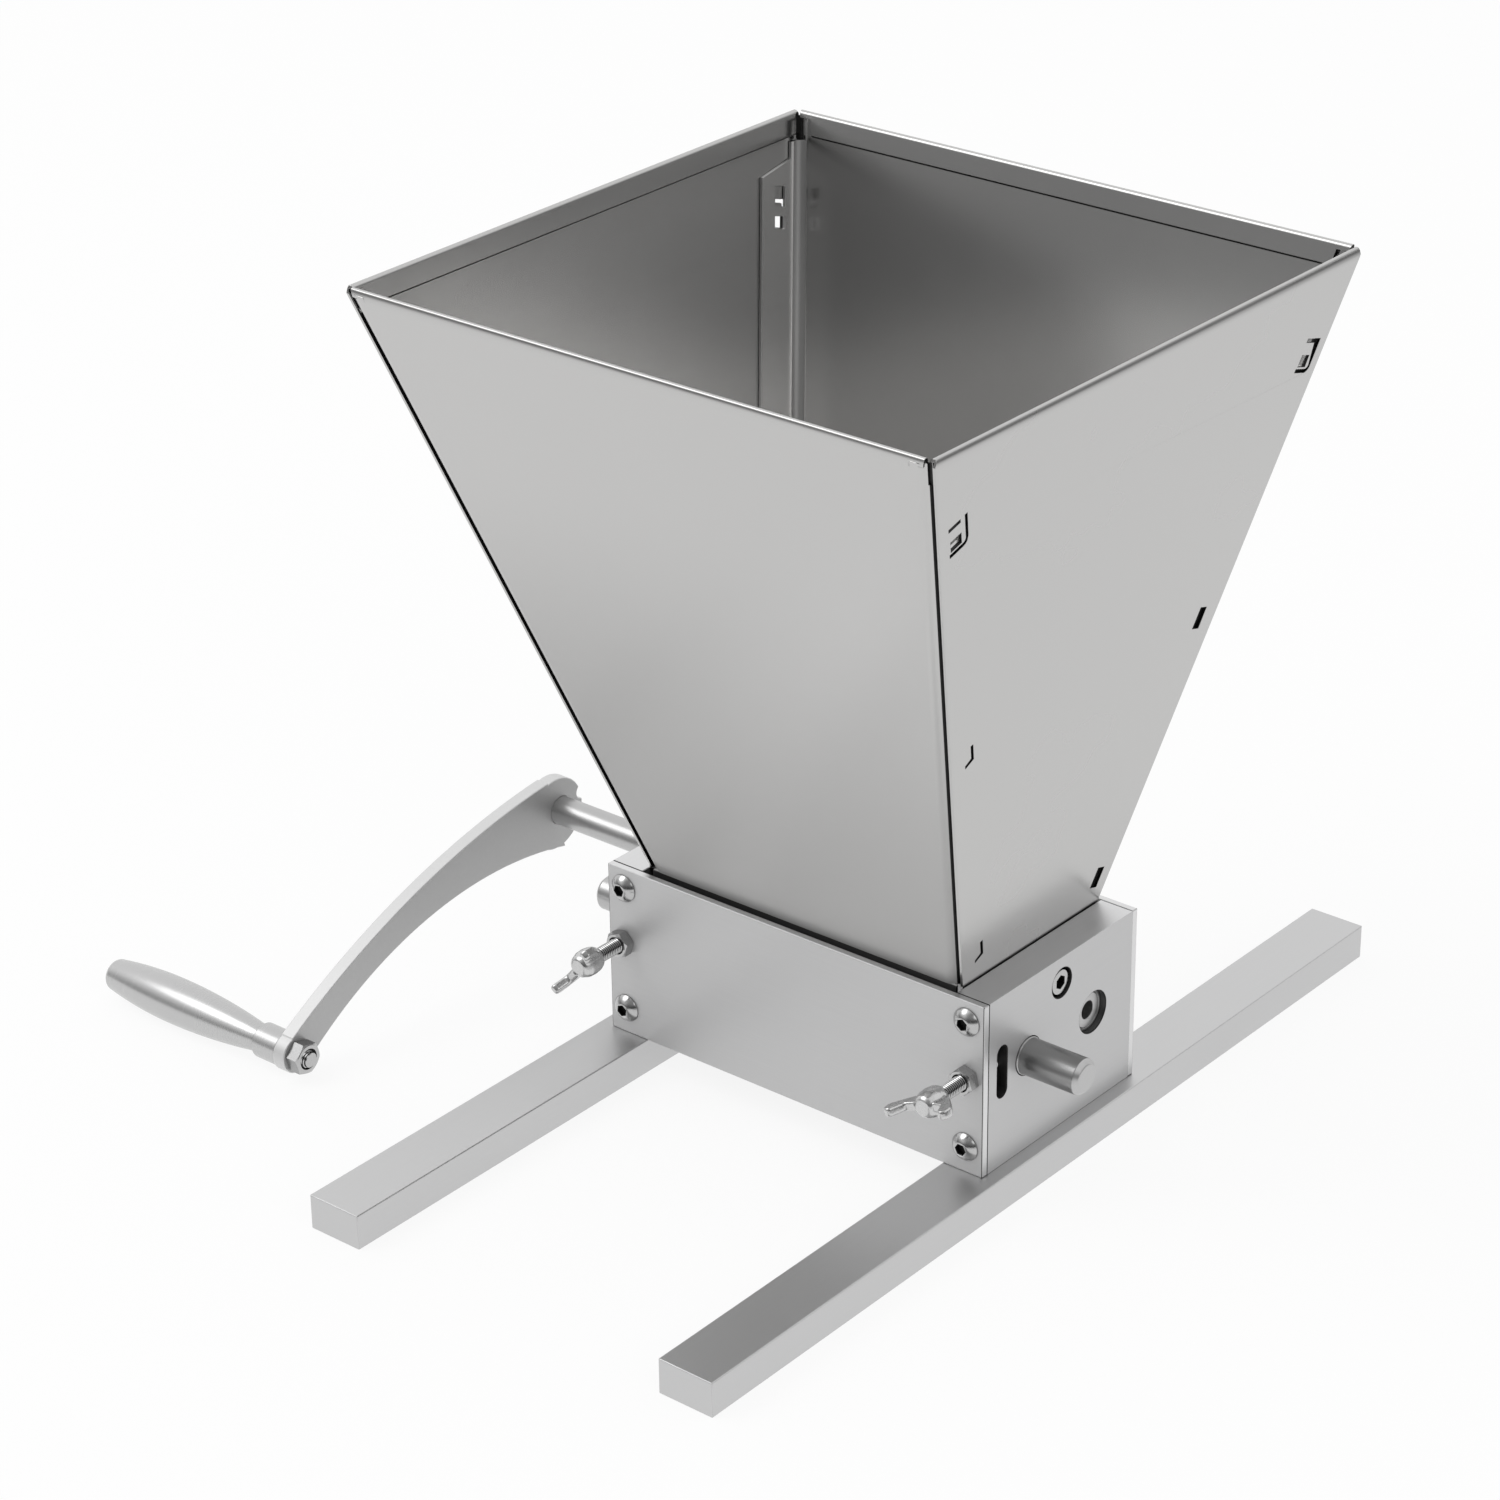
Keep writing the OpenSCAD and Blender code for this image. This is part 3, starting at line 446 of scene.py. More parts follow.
def close_up(bm, reach=0.0000002):
    """Merges what meets within that reach, and turns the faces outwards."""
    bmesh.ops.remove_doubles(bm, verts=bm.verts, dist=reach)
    bmesh.ops.recalc_face_normals(bm, faces=bm.faces)
    if bm.calc_volume(signed=True) < 0:
        bmesh.ops.reverse_faces(bm, faces=bm.faces)
    return bm


def turned(name, rows, key="bright_screw", smooth=SMOOTH, **how):
    """A piece skinned over its rings, which are laid as the function rings says."""
    bm = bmesh.new()
    rings(bm, rows, **how)
    return new_piece(name, close_up(bm), [finish(key)], smooth)


def hexagon(width, turn=0.0):
    """Radius of a hexagon of that width across flats, by angle."""
    def radius(angle):
        a = (angle - turn) % (math.pi / 3) - math.pi / 6
        return width / 2 / math.cos(a)
    return radius


def at_height(radius, height):
    return lambda angle: (radius(angle), height)


# Bands of a nut that lie in its bore and get painted shade, the bore's width as a share of its bolt's,
# and the share of a normal along a nut's axis up to which a face is one of its flats
BORE = (0, 6, 7)
BORE_PLAY = 1.02
FLAT = 0.2


def nut_rows(width, height, bore):
    """Nut from height 0 up, with its corners chamfered at both ends and its bore countersunk."""
    six = hexagon(width)
    land = 0.475 * width
    fall = math.tan(math.radians(30))
    sink = 0.06 * width

    def end(z, sign):
        return [(land, z), lambda a: (six(a), z + sign * max(six(a) - land, 0) * fall)]
    return [(bore, sink), (bore + sink, 0), *end(0, 1), *reversed(end(height, -1)),
            (bore + sink, height), (bore, height - sink)]


# Bands of a head that lie in its socket, and the last one of a button head, at its foot, which all get
# painted shade
SOCKET = (0, 1, 2)
FOOT_BAND = 14


def button_head(s):
    """Domed head with a hexagon socket, standing on height 0."""
    r, h = s.button_width / 2, s.button_height
    skirt = 0.22 * h
    land = 0.46 * r
    middle = (h * h - skirt * skirt + land * land - r * r) / (2 * (h - skirt))
    ball = math.hypot(land, h - middle)
    key = hexagon(s.button_key)
    deep = h - 0.32 * s.shank
    rows = [(0, deep - 0.12 * s.button_key), at_height(key, deep), at_height(key, h - 0.05 * r),
            at_height(hexagon(s.button_key * 1.10), h)]
    for i in range(10):
        radius = land + (r - land) * math.sin(i / 9 * math.pi / 2)
        rows.append((radius, middle + math.sqrt(ball * ball - radius * radius)))
    rows += [(r, 0.12 * h), (r * 0.96, 0), (s.shank / 2, 0), (s.shank / 2, -0.6 * r), (0, -0.6 * r)]
    return rows


def cap_head(s):
    """Socket cap head, standing on height 0."""
    r, h = s.cap_width / 2, s.cap_height
    key = hexagon(s.cap_key)
    deep = h - 0.5 * s.shank
    return [(0, deep - 0.12 * s.cap_key), at_height(key, deep), at_height(key, h - 0.05 * r),
            at_height(hexagon(s.cap_key * 1.07), h), (r * 0.90, h), (r * 0.965, h - 0.03 * r),
            (r, h - 0.10 * r), (r, 0.03 * r), (r * 0.97, 0), (s.shank / 2, 0),
            (s.shank / 2, -0.6 * r), (0, -0.6 * r)]


# Geometry Nodes trees

def new_tree(name, inputs):
    """A geometry tree with a mesh going in and out and the named inputs."""
    tree = bpy.data.node_groups.new(name, "GeometryNodeTree")
    tree.interface.new_socket("Geometry", in_out="OUTPUT", socket_type="NodeSocketGeometry")
    tree.interface.new_socket("Geometry", in_out="INPUT", socket_type="NodeSocketGeometry")
    for label, kind in inputs.items():
        tree.interface.new_socket(label, in_out="INPUT", socket_type="NodeSocket" + kind)
    board = Board(tree)
    return board, board.node("NodeGroupInput")


def end_tree(board, geometry, material):
    real = board.node("GeometryNodeRealizeInstances", {"Geometry": geometry})
    coated = board.node("GeometryNodeSetMaterial", {"Geometry": real, "Material": material})
    board.node("NodeGroupOutput", {"Geometry": coated})
    return board.tree


def grow(piece, name, values):
    """Runs a tree, made when first asked for, on the piece and keeps the plain mesh."""
    tree = bpy.data.node_groups.get(name) or TREES[name](name)
    modifier = piece.modifiers.new(name, "NODES")
    modifier.node_group = tree
    for item in tree.interface.items_tree:
        if item.in_out == "INPUT" and item.name in values:
            modifier[item.identifier] = values[item.name]
    return settle(piece)


def set_of_screws_tree(name):
    """Sets one screw on each point, each turned by its own amount about its axis."""
    board, given = new_tree(name, {
        "Screw": "Object", "Heading": "Vector", "Seed": "Int", "Finish": "Material"})
    screw = board.node(
        "GeometryNodeObjectInfo", {"Object": given.twin("Screw")}, "Geometry",
        transform_space="ORIGINAL")
    points = board.node("GeometryNodeMeshToPoints", {"Mesh": given.twin("Geometry")})
    placed = board.node("GeometryNodeInstanceOnPoints", {
        "Points": points, "Instance": screw, "Rotation": given.twin("Heading")})
    turn = board.node(
        "FunctionNodeRandomValue", {"Seed": given.twin("Seed"), 3: 6.283}, 1, data_type="FLOAT")
    about = board.node("ShaderNodeCombineXYZ", {"Z": turn})
    turned = board.node("GeometryNodeRotateInstances", {"Instances": placed, "Rotation": about})
    return end_tree(board, turned, given.twin("Finish"))


def thread_tree(name):
    """A V thread wound round its core, from height 0 up."""
    board, given = new_tree(name, {
        "Radius": "Float", "Pitch": "Float", "Length": "Float", "Finish": "Material"})
    radius, pitch, length = given.twin("Radius"), given.twin("Pitch"), given.twin("Length")
    half = pitch * 0.29
    run = length - 2 * half
    coil = board.node("GeometryNodeCurveSpiral", {
        "Resolution": 28, "Rotations": run / pitch, "Start Radius": radius - half,
        "End Radius": radius - half, "Height": run})
    upright = board.node("GeometryNodeSetCurveNormal", {"Curve": coil}, mode="Z_UP")
    ridge = board.node("GeometryNodeCurvePrimitiveCircle", {"Resolution": 4, "Radius": half})
    wound = board.node("GeometryNodeCurveToMesh", {
        "Curve": upright, "Profile Curve": ridge, "Fill Caps": True})
    lift = board.node("ShaderNodeCombineXYZ", {"Z": half})
    raised = board.node("GeometryNodeTransform", {"Geometry": wound, "Translation": lift})
    core = board.node("GeometryNodeMeshCylinder", {
        "Vertices": 40, "Radius": radius - pitch * 0.45, "Depth": length})
    # The core between the ridges gets painted shade in the thread's grooves
    groove = board.node(
        "GeometryNodeStoreNamedAttribute", {"Geometry": core, "Name": "hidden", "Value": 1},
        data_type="INT", domain="FACE")
    middle = board.node("ShaderNodeCombineXYZ", {"Z": length * 0.5})
    stem = board.node("GeometryNodeTransform", {"Geometry": groove, "Translation": middle})
    both = board.node("GeometryNodeJoinGeometry", {"Geometry": [raised, stem]})
    return end_tree(board, both, given.twin("Finish"))


def knurl_tree(name):
    """A knurled sleeve along X, whose ends run out to a plain ring."""
    board, given = new_tree(name, {
        "Radius": "Float", "Length": "Float", "Depth": "Float", "Knurls": "Int",
        "Columns": "Int", "Rows": "Int", "Finish": "Material"})
    radius, length, count = given.twin("Radius"), given.twin("Length"), given.twin("Knurls")
    grid = board.node("GeometryNodeMeshGrid", {
        "Size X": 1.0, "Size Y": 1.0, "Vertices X": given.twin("Rows"),
        "Vertices Y": given.twin("Columns") + 1})
    spot = board.node("ShaderNodeSeparateXYZ", {0: board.node("GeometryNodeInputPosition")}, "X")
    u, v = spot.twin("Y"), spot
    slant = v * length / (2 * math.pi * radius)

    def groove(wave):
        part = wave.maths("FRACT", wave)
        return (part - 0.5).maths("ABSOLUTE", part - 0.5) * 2
    one, two = groove((u + slant) * count), groove((u - slant) * count)
    deep = one.maths("MAXIMUM", one, two)
    fade = (0.5 - v.maths("ABSOLUTE", v)) * length / (given.twin("Depth") * 3)
    kept = fade.maths("MINIMUM", fade, 1.0)
    sunk = 1 - kept * (1 - deep * deep)
    far = radius - given.twin("Depth") * sunk
    angle = u * (2 * math.pi)
    spun = board.node("ShaderNodeCombineXYZ", {
        "X": v * length, "Y": far * angle.maths("COSINE", angle), "Z": far * angle.maths("SINE", angle)})
    rolled = board.node("GeometryNodeSetPosition", {"Geometry": grid, "Position": spun})
    sealed = board.node("GeometryNodeMergeByDistance", {"Geometry": rolled, "Distance": SAME_SPOT})
    return end_tree(board, sealed, given.twin("Finish"))


TREES = {
    "Set of screws": set_of_screws_tree, "Screw thread": thread_tree, "Knurled sleeve": knurl_tree}


def screw_set(node, rows, spots, heading, seed, hidden=SOCKET, closed=False):
    """Sets one kind of screw or nut at all its places, in place of the node's plain ones."""
    pattern = turned(node + "_pattern", rows, closed=closed, hidden=hidden)
    bm = bmesh.new()
    for spot in spots:
        bm.verts.new(spot)
    piece = new_piece(node + "_finished", bm, [])
    grow(piece, "Set of screws", {
        "Screw": pattern, "Heading": heading, "Seed": seed, "Finish": finish("bright_screw")})
    bpy.data.objects.remove(pattern)
    smooth_by_angle(piece.data, SMOOTH)
    return hand_over(piece, "frame", "fasteners", node)


def along_x(x, y, z, sign=1):
    return Matrix.Translation((x, y, z)) @ Matrix.Rotation(sign * math.pi / 2, 4, "Y")


def along_y(x, y, z, sign=1):
    return Matrix.Translation((x, y, z)) @ Matrix.Rotation(-sign * math.pi / 2, 4, "X")


def thread(name, radius, pitch, length, place):
    """A length of thread, put in its place."""
    piece = new_piece(name, bmesh.new(), [])
    grow(piece, "Screw thread", {
        "Radius": radius, "Pitch": pitch, "Length": length,
        "Finish": finish("bright_screw")})
    piece.data.transform(place)
    smooth_by_angle(piece.data, THREAD_SMOOTH)
    return piece


def join(name, pieces):
    """One piece out of several, with their materials kept apart."""
    bm = bmesh.new()
    materials = []
    for one in pieces:
        start = len(bm.faces)
        bm.from_mesh(one.data)
        bm.faces.ensure_lookup_table()
        numbers = []
        for material in one.data.materials:
            if material not in materials:
                materials.append(material)
            numbers.append(materials.index(material))
        for face in bm.faces[start:]:
            face.material_index = numbers[face.material_index]
        bpy.data.objects.remove(one)
    return new_piece(name, bm, materials)


# Operators

# Shares of a normal along an axis: past SQUARE a face is square to the axis, past BEVEL it isn't
# along it, a bevel's two faces lie on the two sides of STEEP, and past SHAFT_END a shaft ends
SQUARE = 0.95
STEEP = 0.9
BEVEL = 0.3
SHAFT_END = 0.5
# Shares of a normal that tell the hopper's faces apart: up, on an inner face; inwards, in an inner
# bend; towards the side sheet, on a front or back sheet's end; up or across, on a cut or hem's end
INNER_TILT = (0.1, 0.5)
IN_BEND = 0.2
AT_SIDE = 0.75
AT_END = 0.7
# How many edge widths a bore's faces lie inside a block at least
INSIDE = 2.5
# Corners of a box's six faces, with its first four corners at one end and in the same order as the last
BOX = ((0, 1, 2, 3), (7, 6, 5, 4), (0, 4, 5, 1), (1, 5, 6, 2), (2, 6, 7, 3), (3, 7, 4, 0))


class MILL_OT_hopper(bpy.types.Operator):
    """Four folded sheets of the hopper"""

    bl_idname = "mill.hopper"
    bl_label = "Hopper"

    foot_x: measure("Side foot", "Place of a side sheet's outer face at the hopper's foot", 0.0624)
    foot_front: measure(
        "Front foot", "Place of the front sheet's outer face at the hopper's foot", -0.0348)
    foot_back: measure("Back foot", "Place of the back sheet's outer face at the hopper's foot", 0.0373)
    band: measure("Edge band", "Width of the band beside a side sheet's leaning edges", 0.0047)
    hem: measure("Hem", "Height below the rim that holds the folded hem's lower edge", 0.012)
    cut_foot: measure("Cuts from foot", "Height above the foot from which a side sheet has cuts", 0.003)
    hem_end: span(
        "Hem's end", "How far in a side hem's end lies from a front or back face", (0.0004, 0.0026))
    hem_side: measure("Hem's side", "How far in a side hem lies from the side sheet's face", 0.0012)
    corner: measure("Corner", "Width beside a side sheet that holds a bend's cut end", 0.007)
    fold_height: span(
        "Corner fold's heights", "Top and bottom of a rim corner's inner fold, below the rim",
        (0.0016, 0.00895))
    fold_side: span(
        "Corner fold's sides", "How far in the fold lies from a side sheet's face",
        (0.00105, 0.0029))
    fold_inset: span(
        "Corner fold's depths", "How far in the fold lies from a front or back face",
        (0.00135, 0.00172))

    def corner_folds(self, rim, faces_at):
        """Inner folds that close the cuts at the rim's four corners, in the seams' painted shade."""
        bm = bmesh.new()
        for side in (-1, 1):
            for end, inward in ((0, 1), (1, -1)):
                corners = []
                for height in (rim - below for below in self.fold_height):
                    at = faces_at(height)
                    for across, inset in ((0, 0), (1, 0), (1, 1), (0, 1)):
                        corners.append(bm.verts.new((
                            side * (at[2] - self.fold_side[across]),
                            at[end] + inward * self.fold_inset[inset], height)))
                for face in BOX:
                    bm.faces.new([corners[k] for k in face])
        folds = new_piece("corner_folds_finished", close_up(bm), [finish("dull_seam")])
        hand_over(folds, "hopper", "sheet_steel")

    def execute(self, context):
        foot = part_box("right_block")[1].z
        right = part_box("hopper_right")[1]
        rim, rise = right.z, right.z - foot
        lean = Vector((rise, 0, self.foot_x - right.x)).normalized()
        ends = ((self.foot_front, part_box("hopper_front")[0].y),
                (self.foot_back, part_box("hopper_back")[1].y), (self.foot_x, right.x))

        def faces_at(height):
            """Places of the front, back and side sheets' outer faces at that height."""
            share = (height - foot) / rise
            return [low * (1 - share) + high * share for low, high in ends]

        def inner_face(at, normal):
            return (INNER_TILT[0] < normal.z < INNER_TILT[1]
                    and normal.x * at.x + normal.y * at.y < 0)

        def inner_bend(at, normal):
            return (min(abs(normal.x), abs(normal.y)) > IN_BEND
                    and max(normal.x * at.x, normal.y * at.y) < 0)

        def under_hem(at, normal):
            inwards = -(normal.x * at.x + normal.y * at.y)
            return at.z > rim - self.hem and normal.z < -BEVEL and inwards > BEVEL * at.xy.length

        def against_side(at, normal):
            sideways = Vector((abs(normal.x), 0, normal.z)).dot(lean)
            return (sideways > AT_SIDE and normal.x * at.x > 0
                    or normal.z > AT_END and rim - self.hem < at.z < rim - self.hem / 2
                    and abs(at.x) > right.x - self.corner)

        def in_a_cut(at, normal):
            front, back, _ = faces_at(at.z)
            return (abs(abs(normal.x) * lean.x + normal.z * lean.z) < BEVEL
                    and front + self.band < at.y < back - self.band
                    and foot + self.cut_foot < at.z < rim - self.hem)

        def at_hem_end(at, normal):
            front, back, side = faces_at(at.z)
            near, far = self.hem_end
            return (at.z > rim - self.hem and abs(normal.y) > AT_END
                    and near < min(at.y - front, back - at.y) < far
                    and abs(at.x) < side - self.hem_side)

        width = context.scene.mill_sizes.sheet_edge
        for node, key, inner, seams in (
                ("hopper_front", "front_sheet", "inner_sheet", (against_side,)),
                ("hopper_back", "satin_sheet", "inner_sheet", (against_side,)),
                ("hopper_left", "satin_sheet", "inner_side", (in_a_cut, at_hem_end)),
                ("hopper_right", "satin_sheet", "inner_side", (in_a_cut, at_hem_end))):
            sheet = broken_edges(node, key, "hopper", "sheet_steel", width)
            # Inner faces get painted light on the front and back sheets and painted shade on the side
            # sheets
            refinish(sheet, inner, inner_face)
            # Painted shade in the corners' inner bends
            refinish(sheet, "inner_bend", inner_bend)
            # Seams under the hems, against the side sheets, in the cuts and at the hem ends get painted
            # shade
            for seam in (under_hem, *seams):
                refinish(sheet, "dull_seam", seam)
        self.corner_folds(rim, faces_at)
        return {"FINISHED"}


class MILL_OT_body(bpy.types.Operator):
    """End blocks, plates and base bars"""

    bl_idname = "mill.body"
    bl_label = "Blocks, plates and bars"

    def execute(self, context):
        width = context.scene.mill_sizes.edge
        for node in ("left_block", "right_block"):
            block = broken_edges(node, "milled_block", "frame", "aluminium_parts", width)
            low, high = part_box(node)
            inset = Vector((1, 1, 1)) * INSIDE * width
            inner = list(zip(low + inset, high - inset))

            def in_bore(at, normal):
                return all(a < v < b for v, (a, b) in zip(at, inner))

            def at_seam(at, normal):
                side, end, up = abs(normal.y), abs(normal.x), normal.z
                return (BEVEL < side < SQUARE and min(at.y - low.y, high.y - at.y) < width
                        or -SQUARE < up < -BEVEL and at.z - low.z < width
                        or BEVEL < end < SQUARE
                        and all(a < v < b for v, (a, b) in zip(at.yz, inner[1:])))

            refinish(block, "block_top", lambda at, normal: normal.z > SQUARE)
            # The blocks' bores and the bevels at their seams get painted shade
            refinish(block, "dull_bore", in_bore)
            refinish(block, "dull_seam", at_seam)
        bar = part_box("right_bar")
        for node in ("front_plate", "back_plate"):
            plate = broken_edges(node, "brushed_plate", "frame", "plates", width)
            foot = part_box(node)[0].z
            refinish(plate, "plate_end", lambda at, normal: max(abs(normal.x), normal.z) > SQUARE)
            # A painted shadow line on the plate's bevels beside the blocks and above the bars
            refinish(plate, "dull_seam", lambda at, normal: (
                BEVEL < abs(normal.x) < STEEP and abs(normal.y) > BEVEL
                or -STEEP < normal.z < -BEVEL and at.z < foot + width
                and bar[0].x < abs(at.x) < bar[1].x))
        for node in ("left_bar", "right_bar"):
            broken_edges(node, "satin_bar", "frame", "aluminium_parts", width)
        return {"FINISHED"}


class MILL_OT_screws(bpy.types.Operator):
    """Plate screws, tie rod screws, bar screws and clamp nuts"""

    bl_idname = "mill.screws"
    bl_label = "Screws and nuts"

    def execute(self, context):
        s = context.scene.mill_sizes
        r = s.button_width / 2
        for node, side, seed in (("front_plate_screws", -1, 3), ("back_plate_screws", 1, 8)):
            low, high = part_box(node)
            y = low.y + s.button_height if side < 0 else high.y - s.button_height
            spots = [(x, y, z) for x in (low.x + r, high.x - r) for z in (low.z + r, high.z - r)]
            screw_set(node, button_head(s), spots, (-side * math.pi / 2, 0, 0), seed,
                      (*SOCKET, FOOT_BAND))
        low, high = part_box("tie_rod_screws")
        y, z = (low.y + high.y) / 2, (low.z + high.z) / 2
        x = high.x - s.cap_height
        ends = [turned("end", cap_head(s), place=along_x(sign * x, y, z, sign), hidden=SOCKET)
                for sign in (-1, 1)]
        piece = join("tie_rod_screws_finished", ends)
        hand_over(piece, "frame", "fasteners", "tie_rod_screws")
        low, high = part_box("bar_screws")
        r = s.cap_width / 2
        spots = [(x, y, low.z + s.cap_height) for x in (low.x + r, high.x - r)
                 for y in (low.y + r, high.y - r)]
        screw_set("bar_screws", cap_head(s), spots, (math.pi, 0, 0), 5)
        low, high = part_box("clamp_nuts")
        rows = nut_rows(s.nut_width, high.y - low.y, s.shank / 2 * BORE_PLAY)
        spots = [(x, high.y, (low.z + high.z) / 2)
                 for x in (low.x + s.nut_width / 2, high.x - s.nut_width / 2)]
        piece = screw_set("clamp_nuts", rows, spots, (math.pi / 2, 0, 0), 4, BORE, True)
        # The nuts' flats get painted shade
        refinish(piece, "nut_flat", lambda at, normal: abs(normal.y) < FLAT)
        return {"FINISHED"}


class MILL_OT_wing_screws(bpy.types.Operator):
    """Threaded wing screws with their cast heads, and the pads they press"""

    bl_idname = "mill.wing_screws"
    bl_label = "Wing screws"

    hub_from: measure("Hub from plate", "Distance of the hub from the front plate", 0.013)
    hub_length: measure("Hub length", "Length of the head's hub", 0.0096)
    hub_width: measure("Hub width", "Diameter of the head's hub", 0.0092)
    reach: measure("Wing reach", "Distance of a wing's tip from the axis", 0.0126)
    thick: measure("Wing thickness", "Thickness of a wing", 0.0031)
    lean: measure("Wing lean", "How far a wing leans away from the plate", 0.0066)
    rounding: measure("Wing rounding", "Bevel on a wing's edges", 0.00075)
    voxel: measure("Casting's grid", "Mesh size that turns a head into one casting", 0.00030)
    overlap: measure("Thread in hub", "How far the thread runs into the hub", 0.0005)
    left_turn: FloatProperty(
        name="Left turn", description="Turn of the left head", default=math.radians(52), subtype="ANGLE")
    right_turn: FloatProperty(
        name="Right turn", description="Turn of the right head", default=math.radians(18),
        subtype="ANGLE")

    def head(self, name, turn):
        """Cast head along +Z, with height 0 on the plate's outer face."""
        bm = bmesh.new()
        r, z0, z1 = self.hub_width / 2, self.hub_from, self.hub_from + self.hub_length
        h = self.hub_length
        rings(bm, [(0, z0), (r * 0.62, z0), (r * 0.80, z0 + 0.06 * h), (r * 0.94, z0 + 0.22 * h),
                   (r, z0 + 0.45 * h), (r * 0.97, z0 + 0.68 * h), (r * 0.80, z0 + 0.90 * h),
                   (r * 0.62, z0 + 0.985 * h), (r * 0.50, z1), (0, z1)], steps=32)
        low = z0 + h / 2 - h / 3
        t = self.thick
        outline = [(r * 0.45, low), (0.55 * self.reach, low + 0.36 * self.lean),
                   (self.reach - 0.55 * t, low + self.lean), (self.reach, low + self.lean + 0.75 * t),
                   (self.reach - 0.10 * t, low + self.lean + 1.55 * t),
                   (self.reach - 0.55 * t, low + self.lean + 2.0 * t),
                   (self.reach - 1.05 * t, low + self.lean + 1.85 * t),
                   (0.58 * self.reach, low + 2.45 * t), (r * 0.45, low + 2.2 * t)]
        for half in (0, math.pi):
            spin = Matrix.Rotation(turn + half, 4, "Z")
            front = [bm.verts.new(spin @ Vector((x, -t / 2, z))) for x, z in outline]
            back = [bm.verts.new(spin @ Vector((x, t / 2, z))) for x, z in outline]
            bm.faces.new(front)
            bm.faces.new(list(reversed(back)))
            for i in range(len(outline)):
                j = (i + 1) % len(outline)
                bm.faces.new((front[j], front[i], back[i], back[j]))
        piece = new_piece(name, close_up(bm), [finish("cast_wing")])
        rounding = piece.modifiers.new("Rounding", "BEVEL")
        rounding.width = self.rounding
        rounding.segments = 3
        rounding.limit_method = "ANGLE"
        rounding.angle_limit = math.radians(40)
        skin = piece.modifiers.new("One casting", "REMESH")
        skin.mode = "VOXEL"
        skin.voxel_size = self.voxel
        soft = piece.modifiers.new("Fillets", "SMOOTH")
        soft.factor = 0.5
        soft.iterations = 5
        settle(piece)
        smooth_by_angle(piece.data, WING_SMOOTH)
        return piece

    def execute(self, context):
        s = context.scene.mill_sizes
        for side, turn in (("left", self.left_turn), ("right", self.right_turn)):
            low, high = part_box(side + "_pad")
            x, z = (low.x + high.x) / 2, (low.z + high.z) / 2
            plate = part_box("front_plate")[0].y
            place = along_y(x, plate, z, -1)
            start = plate - low.y
            length = self.hub_from + self.overlap - start
            head = self.head(side + "_head", turn)
            head.data.transform(place)
            stem = thread(side + "_stem", s.shank / 2, s.pitch, length,
                          place @ Matrix.Translation((0, 0, start)))
            piece = join(side + "_wing_screw_finished", [head, stem])
            smooth_by_angle(piece.data, WING_SCREW_SMOOTH)
            hand_over(piece, side + "_clamp_screw", "fasteners", side + "_wing_screw")
            broken_edges(side + "_pad", "bush_bronze", side + "_clamp_pad", "bronze", s.small_edge)
        return {"FINISHED"}


class MILL_OT_rollers(bpy.types.Operator):
    """Knurled rollers and their bushes"""

    bl_idname = "mill.rollers"
    bl_label = "Rollers"

    bevel: measure("End bevel", "Bevel at a roller's ends", 0.0008)
    bore_edge: measure("Bore edge", "Bevel at the ends of a roller's bore", 0.0004)
    play: measure("Bore play", "Radial gap between a roller and what it sits on", 0.00002)
    merge: measure("Merging", "Reach within which a sleeve and its ends become one", 0.00002)
    fine: IntProperty(name="Steps", description="Mesh steps across one knurl", default=4, min=3)

    def roller(self, node, body, core, s):
        """One roller, with a bore for the solid that it sits on."""
        low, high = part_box(core)
        bore = (high.z - low.z) / 2 + self.play
        low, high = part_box(node)
        radius = (high.z - low.z) / 2
        middle = (low + high) / 2
        length = high.x - low.x - 2 * self.bevel
        columns = s.knurls * self.fine
        across = 2 * math.pi * radius / columns
        sleeve = new_piece(node + "_sleeve", bmesh.new(), [])
        grow(sleeve, "Knurled sleeve", {
            "Radius": radius, "Length": length, "Depth": s.knurl_depth, "Knurls": s.knurls,
            "Columns": columns, "Rows": int(length / across), "Finish": finish("knurled_roller")})
        sleeve.data.transform(Matrix.Translation(middle))
        bm = bmesh.new()
        bm.from_mesh(sleeve.data)
        for face in bm.faces:  # The tree puts its finish in a slot of its own
            face.material_index = 0
        end, ring = (high.x - low.x) / 2, radius - s.knurl_depth
        for sign in (-1, 1):
            rings(bm, [(ring, length / 2), (ring - self.bevel * 0.6, end),
                       (bore + self.bore_edge, end), (bore, end - self.bore_edge), (bore, 0)],
                  steps=columns,
                  place=Matrix.Translation(middle) @ Matrix.Rotation(sign * math.pi / 2, 4, "Y"))
        bpy.data.objects.remove(sleeve)
        piece = new_piece(
            node + "_finished", close_up(bm, self.merge), [finish("knurled_roller")], KNURL_SMOOTH)
        hand_over(piece, body, "roller_steel", node)

    def execute(self, context):
        s = context.scene.mill_sizes
        self.roller("idler_roller", "idler", "idler_bushes", s)
        self.roller("drive_roller", "crank", "drive_shaft", s)
        broken_edges("idler_bushes", "bush_bronze", "idler", "bronze", s.small_edge)
        broken_edges("rear_bushes", "turned_shaft", "frame", "shaft_steel", s.small_edge)
        return {"FINISHED"}


class MILL_OT_shafts(bpy.types.Operator):
    """Driven shaft, front axle and tie rod"""

    bl_idname = "mill.shafts"
    bl_label = "Shafts"

    def execute(self, context):
        width = context.scene.mill_sizes.shaft_edge
        for node, body in (("drive_shaft", "crank"), ("front_axle", "axle"), ("tie_rod", "frame")):
            shaft = broken_edges(node, "turned_shaft", body, "shaft_steel", width)
            # The left half of each shaft gets painted light
            refinish(shaft, "crank_shaft", lambda at, normal: at.x < 0)
            refinish(shaft, "shaft_end", lambda at, normal: abs(normal.x) > SHAFT_END)
        return {"FINISHED"}


